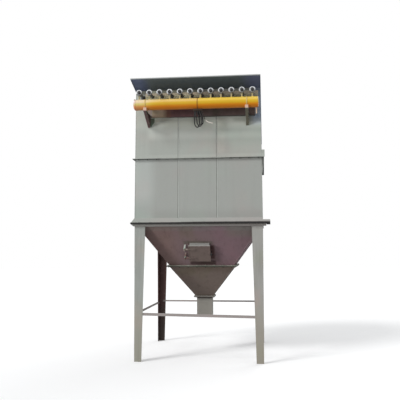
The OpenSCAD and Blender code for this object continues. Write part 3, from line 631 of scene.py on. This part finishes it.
# Legs: the front ones dusty towards the foot, the rear ones in primer, made darker as painted shade
legShades = [
    ((1.0, 0.975, 0.975), ("x", -0.1, 0.1)),
    ((1.02, 1.01, 1.0), ("z", 1.0, 0.6)),
]
legLook = toned(wallLook, (156, 159, 154), (166, 158, 152), (156, 162, 150), foot=(0.1, 1.1, 0.45),
                footTint=(142, 136, 118), streaks=0.25, driftScale=2.2, edges=0.6, rust=0.5,
                shades=legShades)
paintOn("leg_paint", legLook, "leg_front_left", "leg_front_right")
rearLegShadedLook = toned(wallLook, (97, 69, 65), (108, 73, 67), (82, 64, 60), dirt=(66, 54, 48),
                    rim=(120, 104, 96), foot=(0.1, 0.7, 0.6), footTint=(70, 70, 64))
paintOn("rear_leg_primer", rearLegShadedLook, "leg_rear_left", "leg_rear_right")

braceLook = toned(wallLook, (154, 146, 143), (160, 146, 142), (150, 146, 140), rust=0.6, driftScale=3.0)
paintOn("brace_paint", braceLook, "brace_front", "brace_rear", "brace_left", "brace_right")

# Hopper: primer under thin grey; its brown-mauve is in part painted shade, tinted by painted light thrown up
# from brown ground
hopperLook = {
    "base": (134, 115, 115), "warm": (146, 116, 118), "cool": (122, 112, 92), "dirt": (96, 84, 76),
    "driftScale": 1.6, "driftWarm": 0.6, "driftCool": 0.45, "streaks": 0.2, "smears": 0.3,
    "rim": (158, 150, 146), "edges": 0.5, "rust": 0.12, "roughness": 0.62, "waves": 0.4, "specular": 0.3,
}
overJoint = heights(cornersOf("hopper_flange")[1][2])
upperCone, lowerCone = overJoint(-0.02, 0), overJoint(0, -0.02)
onSlope = ("y", -0.35, -0.45)  # the front face, not the ones at the sides
besideStraps = [((0.58, 0.53, 0.52), overJoint(z, z + 0.008), overJoint(z + 0.034, z + 0.026),
                 ("x", -0.255, -0.24), ("x", -0.15, -0.165), onSlope) for z in (0.211, 0.093)]
hopperShades = [
    # the upper cone, its right part, and painted shadow of the leg on its left edge
    ((1.045, 1.03, 1.05), upperCone),
    ((1.02, 0.99, 1.02), upperCone, ("x", 0.10, 0.35)),
    ((0.62, 0.70, 0.66), overJoint(0.241, 0.421), ("x", -0.855, -0.93), ("y", -0.50, -0.65)),
    # shadows round the hatch: right of it, under it, over it and beside its hinge straps
    ((0.68, 0.60, 0.58), overJoint(0.081, 0.121), overJoint(0.321, 0.281), ("x", 0.150, 0.165),
     ("x", 0.235, 0.200), onSlope),
    ((0.66, 0.63, 0.61), overJoint(0.012, 0.018), overJoint(0.091, 0.061), ("x", -0.18, -0.15),
     ("x", 0.25, 0.21), onSlope),
    ((0.83, 0.88, 0.83), overJoint(0.311, 0.331), overJoint(0.381, 0.356), ("x", -0.27, -0.22),
     ("x", 0.22, 0.17), onSlope),
    *besideStraps,
    # the top of the upper cone, and the upper right of it
    ((1.0, 1.06, 1.05), overJoint(0.501, 0.541)),
    ((0.95, 1.04, 0.97), overJoint(0.381, 0.481), ("x", 0.30, 0.50)),
    # painted shade on the front of the lower cone under the joint flange; the upper cone's left part, the
    # whole lower cone
    ((0.91, 0.90, 0.88), overJoint(-0.14, -0.05), overJoint(0.001, -0.001), ("x", -0.30, -0.20),
     ("y", -0.20, -0.30)),
    ((1.02, 1.0, 0.95), upperCone, ("x", -0.20, -0.50)),
    ((1.03, 1.07, 1.0), lowerCone),
]
hopperPaint = {**hopperLook, "smears": 0.15, "shades": hopperShades}
hopperPrimerAndShade = paintOn("hopper_primer", hopperPaint, "upper_hopper", "lower_hopper")
# painted shade on the lower part of the joint flange's edge
jointEdgeShade = [((0.45, 0.42, 0.40), overJoint(-0.009, -0.011), ("up", 0.6, 0.4))]
jointLook = toned(hopperLook, (134, 138, 124), (142, 132, 122), (122, 144, 123), edges=0.8,
                  rim=(186, 192, 180), shades=jointEdgeShade)
jointPaint = paintOn("hopper_joint_paint", jointLook, "hopper_flange")

# Chute: painted shade just under the outlet flange
overChute = heights(cornersOf("discharge_chute")[1][2])
chuteShadeUnderFlange = [((0.55, 0.52, 0.52), overChute(-0.035, -0.01), overChute(0.011, 0.008))]
chuteLook = toned(wallLook, (165, 161, 152), (170, 160, 151), (161, 161, 148), shades=chuteShadeUnderFlange)
chutePaint = paintOn("chute_paint", chuteLook, "discharge_chute", "outlet_flange")

# Hatch: painted light on upward faces at its top edge and painted shade on those lower down, the upper half
# of its left edge pale, painted shade on faces that look right; its coat is like the hopper's, in part
# painted shade
lookingUp, leftEdge = ("up", 0.2, 0.5), ("x", -0.166, -0.170)
hatchLightAndShade = [
    ((1.17, 1.32, 1.36), lookingUp, overJoint(0.241, 0.271)),
    ((0.45, 0.40, 0.40), ("side", 0.4, 0.6)),
    (0.80, lookingUp, overJoint(0.271, 0.241), ("x", -0.170, -0.160)),
    ((1.25, 1.29, 1.27), leftEdge, overJoint(0.171, 0.191)),
    ((1.0, 0.93, 0.92), leftEdge, overJoint(0.181, 0.161)),
]
hatchLook = toned(hopperLook, (128, 112, 106), (134, 112, 106), (120, 110, 100), edges=0.6,
                  rim=(150, 134, 128), shades=hatchLightAndShade)
hatchPrimerAndShade = paintOn("hatch_primer", hatchLook, "hatch_neck", "hatch_door")

# Roof: painted shade makes its underside darker and bluer, less at the front edge, and painted sky light
# makes it still bluer at both ends
lookingDown = ("up", -0.3, -0.6)
roofUndersideShade = [
    ((0.695, 0.75, 0.80), lookingDown),
    ((1.12, 1.12, 1.10), lookingDown, ("y", -1.30, -1.42)),
    ((1.04, 1.04, 1.27), lookingDown, ("x", -0.66, -0.84)),
    ((1.07, 1.04, 1.21), lookingDown, ("x", 0.62, 0.82)),
]
roofLook = toned(wallLook, (150, 154, 152), (140, 144, 144), (150, 158, 160), rust=0.5, shades=roofUndersideShade)
paintOn("roof_paint", roofLook, "roof")

# Rails on the front wall: both are paler at the left; the upper rail is brightened all over with painted
# light, most at the left and low down, and its rubbed edges serve as a painted highlight on its top edge
railPaintedLight = [
    ((1.2, 1.25, 1.27),),
    ((1.36, 1.37, 1.33), ("x", 0.12, -0.12)),
    ((1.2, 1.26, 1.22), overRail(-0.02, -0.06)),
]
railLook = toned(hopperLook, (134, 118, 103), (146, 120, 106), (118, 112, 92), driftScale=4.0, edges=0.8,
                 rim=(176, 160, 146), shades=railPaintedLight)
paintOn("rail_primer", railLook, "valve_rail")
lowRailShades = [
    ((1.15, 1.15, 0.98), ("x", -0.38, -0.43)),
    ((1.58, 1.92, 1.92), ("x", -0.44, -0.54)),
    ((0.945, 1.10, 1.04), ("x", 0.0, 0.1)),
]
lowRailLook = toned(hopperLook, (91, 64, 65), (95, 64, 67), (76, 64, 57), driftScale=3.0, edges=0.3,
                    shades=lowRailShades)
paintOn("low_rail_primer", lowRailLook, "header_rail")

# Brackets: the left one in two tones, the right one in a third
bracketShades = [
    ((1.26, 1.18, 1.28), ("x", -0.722, -0.726)),
    ((1.26, 1.65, 1.58), ("x", -0.722, -0.718), ("x", 0.0, -0.1)),
    ((1.32, 1.48, 1.42), ("x", 0.0, 0.1)),
]
bracketLook = toned(hopperLook, (92, 78, 70), (110, 84, 82), (70, 70, 56), edges=0.8, shades=bracketShades)
bracketPrimer = paintOn("bracket_primer", bracketLook, "header_brackets")

# Header: gloss yellow, with painted light paling its upper half and its left end, and painted shade
# making it redder underneath
overHeader = heights(headerZ)
headerLightAndShade = [
    ((0.89, 0.93, 0.53),),
    ((1.08, 1.15, 3.45), overHeader(0.006, 0.045)),
    ((1.11, 0.82, 0.80), overHeader(-0.005, -0.05)),
    ((1.03, 1.11, 1.55), ("x", -0.50, -0.82)),
    ((0.93, 0.88, 1.1), ("x", -0.86, -0.93)),
    ((1.0, 1.0, 0.67), ("x", 0.0, 0.1)),
    ((1.0, 1.07, 2.25), ("x", -0.60, -0.82), overHeader(0.028, 0.008)),
]
headerLook = toned(wallLook, (232, 176, 56), (238, 184, 76), (224, 166, 50), dirt=(210, 150, 60),
                   rim=(240, 200, 110), driftScale=2.6, streaks=0.0, smears=0.2, edges=0.2, roughness=0.38,
                   rust=0.15, shades=headerLightAndShade)
headerYellow = paintOn("header_yellow", headerLook, "header_tank")

# Fittings: cream, with a paler drop pipe at the right end
fittingShades = [((1.17, 1.10, 1.26), ("x", 0.80, 0.83), overHeader(-0.05, -0.07))]
fittingLook = toned(wallLook, (160, 150, 112), (166, 148, 108), (148, 146, 110), streaks=0.0,
                    shades=fittingShades)
fittingCream = paintOn("fitting_cream", fittingLook, "header_fittings")

# Clamp bands: the middle one is brown, and dark in its clip under the header
overClip = heights(headerZ - headerR)
middleBand = (("x", -0.20, -0.15), ("x", 0.20, 0.15))
strapShades = [
    ((1.0, 0.97, 1.42), overHeader(-0.052, -0.058)),
    ((0.66, 0.46, 0.20), *middleBand, overClip(-0.004, 0)),
    ((0.28, 0.25, 0.19), *middleBand, overClip(0, -0.004)),
]
strapLook = toned(fittingLook, (208, 178, 104), (206, 172, 100), (200, 178, 104), edges=0.2,
                  shades=strapShades)
paintOn("strap_paint", strapLook, "header_straps")

pipeLook = toned(wallLook, (60, 54, 58), (68, 56, 56), (50, 52, 62), dirt=(60, 52, 46), streaks=0.0,
                 edges=0.0, roughness=0.4)
paintOn("pipe_steel", pipeLook, "blow_pipes")


valveNames = sorted(n for n in frame["nodes"] if n.startswith("pulse_valve_"))


# Middle of a valve's round face, from the highest point of its box down by half its width
def valveCentre(name):
    low, high = cornersOf(name)
    return (low[0] + high[0]) / 2, headerY, high[2] - (high[0] - low[0]) / 2


valveCentres = np.array([valveCentre(name) for name in valveNames])
valvePitch = float(valveCentres[1, 0] - valveCentres[0, 0])

# Cast aluminium of the valves: bright, with a fine grain and grey oxide in the hollows; painted shade darkens
# each valve below a line through its middle, which runs up to the right
valveLook = {
    "base": (226, 228, 230), "oxide": (150, 152, 152), "shadeTint": (34, 34, 32), "roughness": 0.34,
    "metallic": 0.85, "cloudScale": 24, "shadeLine": (0.9, 0.35), "shadeSpan": (0.004, -0.026),
    "shadeMost": 0.72, "ragged": 0.006, "grainScale": 600, "grain": 0.25, "grainDepth": 0.0008,
}


# Across and lift are measured from the middle of each valve
def castAluminium(name, look):
    material, tree = newMaterial(name)
    spot = coordinates(tree)
    cloud = noise(tree, spot, look["cloudScale"], 4, 0.6)
    colour = mixed(tree, ranged(tree, cloud, 0.45, 0.75, 0, 0.6), tint(*look["base"]), tint(*look["oxide"]))
    places = splitUp(tree, spot)
    across = reckon(tree, "SUBTRACT", places[0], valveCentres[0, 0] - valvePitch / 2)
    across = reckon(tree, "SUBTRACT", reckon(tree, "MODULO", across, valvePitch), valvePitch / 2)
    lift = reckon(tree, "SUBTRACT", places[2], valveCentres[0, 2])
    lift, across = (reckon(tree, "MULTIPLY", *pair) for pair in zip((lift, across), look["shadeLine"]))
    way = reckon(tree, "SUBTRACT", lift, across)
    uneven = reckon(tree, "ADD", way, ranged(tree, cloud, 0.3, 0.7, -look["ragged"], look["ragged"]))
    # painted shade, full below the line
    amount = ranged(tree, uneven, *look["shadeSpan"], 0, look["shadeMost"])
    colour = mixed(tree, amount, colour, tint(*look["shadeTint"]))
    grain = bumped(tree, noise(tree, spot, look["grainScale"], 3, 0.6), look["grain"], look["grainDepth"])
    rough = ranged(tree, cloud, 0.3, 0.8, look["roughness"], look["roughness"] + 0.2)
    shaderOf(tree, colour, rough, look["metallic"], grain)
    return material


valveAluminium = castAluminium("valve_aluminium", valveLook)
dress(valveAluminium, *valveNames)
latchLook = {"colour": (34, 32, 34), "dust": (70, 66, 64), "roughness": 0.4}
latchPlastic = rubber("latch_plastic", latchLook)
dress(latchPlastic, "hatch_latch")
print("finishes set on", len(frame["nodes"]), "CAD nodes")


# Small fasteners, in units of their size: a hexagon head on a washer, and the nut on its stud
def hexHead(size):
    washer = turned(size * np.array([(1.25, 0), (1.25, 0.18)]), 12)
    head = turned(size * np.array([(1, 0.18), (1, 0.78), (0.85, 0.92)]), 6)
    return joined([washer, head])


def nutOnStud(size):
    nut = turned(size * np.array([(0.9, 0), (1, 0.1), (1, 0.8), (0.88, 0.9)]), 6)
    stud = turned(size * np.array([(0.55, 0.8), (0.55, 1.4), (0.45, 1.5)]), 8)
    return joined([nut, stud])


# Evenly spaced places round a rectangle about the casing's middle, clear of its corners
def roundTheEdge(half, clear, spacing, z):
    rows = []
    for axis in (0, 1):
        reach = half[axis] - clear
        along = np.linspace(-reach, reach, 2 * int(round(reach / spacing)))
        for side in (-1, 1):
            row = np.full((len(along), 3), z)
            row[:, axis], row[:, 1 - axis] = along, side * half[1 - axis]
            rows.append(row)
    return np.concatenate(rows) + (bodyX, bodyY, 0)


downwards, forward = facing((0, 0, -1)), facing((0, -1, 0))

# The bolts of the upper two flanges stand beyond the casing, those of the lower two inside their own edge
boltSetup = {
    "mid_flange": {"beyond": 0.020, "clear": 0.07, "spacing": 0.125, "size": 0.0085},
    "base_flange": {"beyond": 0.032, "clear": 0.09, "spacing": 0.150, "size": 0.0100},
    "hopper_flange": {"beyond": -0.016, "clear": 0.05, "spacing": 0.110, "size": 0.0085},
    "outlet_flange": {"beyond": -0.014, "clear": 0.03, "spacing": 0.080, "size": 0.0075},
}


# Half the width and half the depth of a CAD node
def halfOf(node):
    low, high = cornersOf(node)
    return (high[:2] - low[:2]) / 2


# Heads on top of each flange and nuts below it. The base bolts are tapped into the frame, so they have no
# nuts; they stand on the plate, and not on the right side, where the rim is too narrow
def makeFlangeBolts(setup, finishes):
    for name, look in setup.items():
        low, high = cornersOf(name)
        onBase = name == "base_flange"
        top = plateTop if onBase else high[2]
        around = np.array([halfW, halfD]) if look["beyond"] > 0 else halfOf(name)
        turn = rng.uniform(0, math.pi / 3)
        twist = facing((0, 0, 1), (math.cos(turn), math.sin(turn), 0))
        places = roundTheEdge(around + look["beyond"], look["clear"], look["spacing"], top)
        if onBase:
            places = places[places[:, 0] < bodyX + halfW]
        shapes = [copies(hexHead(look["size"]), places, twist)]
        if not onBase:
            shapes.append(copies(nutOnStud(look["size"]), places + (0, 0, low[2] - top), downwards @ twist))
        piece(name + "_bolts", joined(shapes), finishes[name])


makeFlangeBolts(boltSetup, {"mid_flange": flangePaint, "base_flange": flangePaint,
                            "hopper_flange": jointPaint, "outlet_flange": chutePaint})
print("flange bolts made")


# Beads: the first four are radii, of a plain one, round the casing's foot, on a seam and on thick plate
weldSetup = {
    "radius": 0.0035, "foot": 0.0045, "seam": 0.003, "plate": 0.004, "step": 0.008, "uneven": 0.22,
    "sides": 6, "off": 0.001, "underRoof": 0.006, "underFrame": 0.004, "beyondChute": 0.015,
}


# A weld bead on a line: a bar whose radius wanders, r = r0 (1 + uneven x random)
def bead(start, end, radius):
    start, end = np.array(start, float), np.array(end, float)
    count = max(4, int(np.linalg.norm(end - start) / weldSetup["step"]))
    path = start + (end - start) * np.linspace(0, 1, count)[:, None]
    wander = 1 + weldSetup["uneven"] * rng.uniform(-1, 1, count)
    across = np.eye(3)[int(np.argmin(np.abs(end - start)))]
    return tube(path, radius * wander, weldSetup["sides"], across)


# Corners of a level rectangle about the casing's middle
def cornersOfRect(halfX, halfY, z):
    corners = [(-halfX, -halfY, z), (halfX, -halfY, z), (halfX, halfY, z), (-halfX, halfY, z)]
    return np.array(corners) + (bodyX, bodyY, 0)


def beadsAround(halfX, halfY, z, radius):
    corners = cornersOfRect(halfX, halfY, z)
    return [bead(corners[k], corners[(k + 1) % 4], radius) for k in range(4)]


# Beads up the four edges between two such rectangles
def beadsBetween(lows, tops, radius):
    return [bead(low, top, radius) for low, top in zip(lows, tops)]


def makeCasingWelds(look):
    off = look["off"]
    tops = cornersOfRect(halfW, halfD, wallHigh[2] - look["underRoof"])
    tops[2:, 2] = rearHigh[2]
    welds = beadsBetween(cornersOfRect(halfW, halfD, wallLow[2]), tops, look["radius"])
    lows, tops = cornersOfRect(halfW, halfD, bandTop), cornersOfRect(halfW, halfD, lowerHigh[2])
    welds += beadsBetween(lows, tops, look["radius"])
    welds += beadsAround(halfW + off, halfD + off, bandTop, look["foot"])
    welds += beadsAround(halfW, halfD, wallLow[2] + off, look["seam"])
    welds += beadsAround(halfW, halfD, lowerHigh[2] - off, look["seam"])
    piece("casing_welds", joined(welds), wallPaint, smooth=True)


def makeHopperWelds(look):
    upLow, upHigh = cornersOf("upper_hopper")
    lowLow, lowHigh = cornersOf("lower_hopper")
    top, joint = halfOf("upper_hopper"), halfOf("lower_hopper")
    foot = halfOf("discharge_chute") + look["beyondChute"]
    off, radius = look["off"], look["plate"]
    tops = cornersOfRect(*top, upHigh[2] - look["underFrame"])
    welds = beadsBetween(cornersOfRect(*joint, upLow[2]), tops, radius)
    welds += beadsBetween(cornersOfRect(*foot, lowLow[2]), cornersOfRect(*joint, lowHigh[2]), radius)
    welds += beadsAround(*joint, upLow[2] + off, radius)
    welds += beadsAround(*joint, lowHigh[2] - off, radius)
    piece("hopper_welds", joined(welds), hopperPrimerAndShade, smooth=True)


# Along the two outer sides of each leg's top
def makeLegWelds(look):
    welds = []
    for name in ("leg_front_left", "leg_front_right", "leg_rear_left", "leg_rear_right"):
        low, high = cornersOf(name)
        outX, inX = (low[0], high[0]) if low[0] < bodyX else (high[0], low[0])
        outY, inY = (low[1], high[1]) if low[1] < bodyY else (high[1], low[1])
        for end in ((inX, outY, high[2]), (outX, inY, high[2])):
            welds.append(bead((outX, outY, high[2]), end, look["plate"]))
    piece("leg_welds", joined(welds), framePaint, smooth=True)


makeCasingWelds(weldSetup)
makeHopperWelds(weldSetup)
makeLegWelds(weldSetup)
print("weld beads made")


# Folded lips beside the sheet seams: a flat bar with chamfered edges on each seam of each wall
seamLip = {"from": 0.004, "wide": 0.010, "proud": 0.003, "chamfer": 0.0015, "off": 0.001, "underRoof": 0.012}


# The lips of the upper storey end under the sloping roof, or at the front under the header's rail
def makeSeamLips(look):
    railFoot = cornersOf("header_rail")[0][2]
    off = look["off"]
    shapes = []
    for quarter, outward in enumerate(np.array([(0, -1), (1, 0), (0, 1), (-1, 0)], float)):
        right = np.array([-outward[1], outward[0]])
        half = halfD if quarter % 2 == 0 else halfW
        frameOf = np.stack([[*right, 0], [*outward, 0], [0, 0, 1]], axis=1)
        for side in (-1, 1):
            shift = side * seamAt + right[0] * seamShift
            alongY = (outward * half + right * shift)[1]
            drop = (alongY + halfD) * (wallHigh[2] - rearHigh[2]) / (2 * halfD)
            top = railFoot - off if quarter == 0 else wallHigh[2] - drop - look["underRoof"]
            start = shift + look["from"]
            for low, high in ((bandTop, lowerHigh[2] - off), (wallLow[2] + off, top)):
                bar = block((start, -off, low), (start + look["wide"], look["proud"], high), look["chamfer"])
                shapes.append(copies(bar, [(*(outward * half + (bodyX, bodyY)), 0)], frameOf))
    piece("wall_seam_lips", joined(shapes), seamPaint)


lipLook = toned(wallLook, (184, 188, 182), (190, 184, 178), (180, 188, 180), streaks=0.0, edges=0.3)
seamPaint = coatedSteel("seam_paint", lipLook)
makeSeamLips(seamLip)


# Hatch: the hinge line of the record gives the way up the slope and out of the hopper
hinge = [joint for joint in frame["joints"] if joint["name"] == "hatch_hinge"][0]
hingeAt = np.array(hinge["pos_m"], float)
upSlope = -np.array(hinge["axis"], float)
outOf = np.cross((1, 0, 0), upSlope)
hatchFrame = np.stack([(1, 0, 0), upSlope, outOf], axis=1)
hatchSetup = {
    "doorMiddle": 0.223, "width": 0.330, "height": 0.285, "rim": 0.014, "rimProud": 0.004,
    "doorFace": -0.004, "sunk": 0.001, "chamfer": 0.0015, "gap": 0.016,
    "pinAt": 0.078, "pinHead": 0.0085, "earOut": 0.021,
    "armBolts": (0.080, 0.130), "armBoltSize": 0.0065, "armFace": 0.004,
    "knobAt": 0.400, "knobRadius": 0.0195, "knobHigh": 0.024, "knobLobes": 5, "knobDip": 0.13,
    "knobSides": 60,
    "knobProfile": [(0.80, 0), (1.0, 0.15), (1.0, 0.62), (0.90, 0.88), (0.62, 1.0)],
    "threadRadius": 0.0052, "threadDepth": 0.0008, "threadFrom": -0.054, "threadStep": 0.0025, "rings": 23,
}


# Points given as across, up the slope and out, from the hinge line's middle
def onHatch(shape, place, frameOf=np.eye(3)):
    return copies(shape, [hingeAt + hatchFrame @ np.array(place, float)], hatchFrame @ frameOf)


# A star knob: radius = r (1 - dip (1 - cos(lobes t))), rounded towards its face by the profile
def starKnob(look):
    sides = look["knobSides"]
    angle = np.arange(sides) * 2 * math.pi / sides
    dip = look["knobDip"] * (1 - np.cos(look["knobLobes"] * angle))
    profile = np.array(look["knobProfile"])
    reach = look["knobRadius"] * profile[:, :1] * (1 - dip[None] * np.minimum(profile[:, :1], 1))
    z = np.repeat(look["knobHigh"] * profile[:, 1:], sides, axis=1)
    return skin(np.stack([reach * np.cos(angle), reach * np.sin(angle), z], axis=-1))


# Bars along the door's four edges, with gaps for the hinge arms and the knob's bolt
def doorRim(look):
    halfWide, halfHigh, rim, chamfer = look["width"] / 2, look["height"] / 2, look["rim"], look["chamfer"]
    low, high = look["doorFace"] - look["sunk"], look["doorFace"] + look["rimProud"]
    inner, pin, gap = halfHigh - rim, look["pinAt"], look["gap"]
    stretches = {
        -1: [(-inner, -pin - gap), (-pin + gap, pin - gap), (pin + gap, inner)],
        1: [(-inner, -gap), (gap, inner)],
    }
    bars = []
    for side, parts in stretches.items():
        edge = side * (halfHigh - rim / 2)
        bars.append(block((-halfWide, edge - rim / 2, low), (halfWide, edge + rim / 2, high), chamfer))
        edge = side * (halfWide - rim / 2)
        for start, end in parts:
            bars.append(block((edge - rim / 2, start, low), (edge + rim / 2, end, high), chamfer))
    return joined(bars)


def makeHatch(look):
    rim = onHatch(doorRim(look), (look["doorMiddle"], 0, 0))
    piece("hatch_door_rim", rim, hatchPrimerAndShade, "hatch")

    pins = (-look["pinAt"], look["pinAt"])
    head, ear = hexHead(look["pinHead"]), look["earOut"]
    heads = [onHatch(head, (0, pin + side * ear, 0), facing((0, side, 0)))
             for pin in pins for side in (-1, 1)]
    piece("hatch_hinge_nuts", joined(heads), bracketPrimer)
    bolt, face = hexHead(look["armBoltSize"]), look["armFace"]
    bolts = [onHatch(bolt, (across, pin, face)) for pin in pins for across in look["armBolts"]]
    piece("hatch_arm_bolts", joined(bolts), hatchPrimerAndShade, "hatch")

    knob = onHatch(starKnob(look), (look["knobAt"], 0, face))
    ring = np.arange(look["rings"])  # every second ring of the thread is a little larger
    radius = look["threadRadius"] + look["threadDepth"] * (ring % 2)
    thread = np.stack([radius, look["threadFrom"] + look["threadStep"] * ring], axis=1)
    screw = onHatch(turned(thread, 12), (look["knobAt"], 0, 0))
    made = piece("hatch_knob", joined([knob, screw]), latchPlastic, "hatch")
    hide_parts("hatch_latch")


makeHatch(hatchSetup)
print("hatch dressed")


# Valves: black coil in the recess, cover screws, a union nut under the socket, a weld round each stub
valveSetup = {
    "face": -0.026, "coil": [(0.0205, 0), (0.0225, 0.002), (0.0225, 0.010), (0.016, 0.018), (0.010, 0.019)],
    "screwRing": 0.0355, "screws": 6, "screwSize": 0.0036, "screwFace": -0.032,
    "nut": [(0.9, 0), (1, 0.12), (1, 0.88), (0.9, 1)], "nutLow": -0.064, "nutRadius": 0.017, "nutHigh": 0.018,
    "stubWeldRing": 0.0143, "stubWeld": 0.0035, "stubWeldOff": 0.001, "sides": 24,
}


def makeValves(look):
    centres, sides = valveCentres, look["sides"]
    coils = copies(turned(look["coil"], sides), centres + (0, look["face"], 0), forward)
    piece("valve_coils", coils, coilBlack)
    angle = (np.arange(look["screws"]) + 0.5) * 2 * math.pi / look["screws"]
    ring = look["screwRing"] * np.stack([np.cos(angle), 0 * angle, np.sin(angle)], axis=1)
    places = (centres[:, None] + ring[None] + (0, look["screwFace"], 0)).reshape(-1, 3)
    screws = copies(hexHead(look["screwSize"]), places, forward)
    piece("valve_screws", screws, valveAluminium)
    nut = turned(look["nut"], 6)
    nut["points"] = nut["points"] * (look["nutRadius"], look["nutRadius"], look["nutHigh"])
    nuts = copies(nut, centres + (0, 0, look["nutLow"]))
    piece("union_nuts", nuts, fittingCream)
    # the weld lies on the header: its height is the root of header radius squared less y squared
    turn = np.arange(sides) * 2 * math.pi / sides
    x, y = look["stubWeldRing"] * np.cos(turn), look["stubWeldRing"] * np.sin(turn)
    saddle = np.stack([x, y, np.sqrt((headerR + look["stubWeldOff"]) ** 2 - y**2)], axis=1)
    loop = tube(saddle, look["stubWeld"], 6, (0, 0, 1), closed=True)
    places = centres * (1, 1, 0) + (0, 0, headerZ)
    piece("stub_welds", copies(loop, places), headerYellow, smooth=True)


coilBlack = rubber("coil_black", {"colour": (30, 29, 31), "dust": (58, 56, 56), "roughness": 0.5})
makeValves(valveSetup)


# Header: a weld ring where each end joins the tube
weldRings = {"fromLeft": 0.037, "fromRight": 0.015, "radius": 0.0032, "uneven": 0.15, "steps": 72}


def makeHeaderWelds(look):
    steps = look["steps"]
    turn = np.arange(steps) * 2 * math.pi / steps
    y, z = headerY + headerR * np.cos(turn), headerZ + headerR * np.sin(turn)
    loops = []
    for x in (tankLow[0] + look["fromLeft"], tankHigh[0] - look["fromRight"]):
        wander = 1 + look["uneven"] * rng.uniform(-1, 1, steps)
        path = np.stack([np.full(steps, x), y, z], axis=1)
        loops.append(tube(path, look["radius"] * wander, 6, (1, 0, 0), closed=True))
    piece("header_welds", joined(loops), headerYellow, smooth=True)


makeHeaderWelds(weldRings)


# Brackets: two pairs of bolts through the wall wing of each
bracketBolts = {"size": 0.0075, "inset": 0.023, "apart": 0.0135, "under": 0.030, "over": 0.022, "wing": 0.008}


def makeBracketBolts(look):
    low, high = cornersOf("header_brackets")
    places = [(x + side * look["apart"], frontY - look["wing"], z)
              for x in (low[0] + look["inset"], high[0] - look["inset"])
              for side in (-1, 1)
              for z in (high[2] - look["under"], low[2] + look["over"])]
    heads = copies(hexHead(look["size"]), places, forward)
    piece("bracket_bolts", heads, bracketPrimer)


makeBracketBolts(bracketBolts)
print("valves, header and brackets dressed")
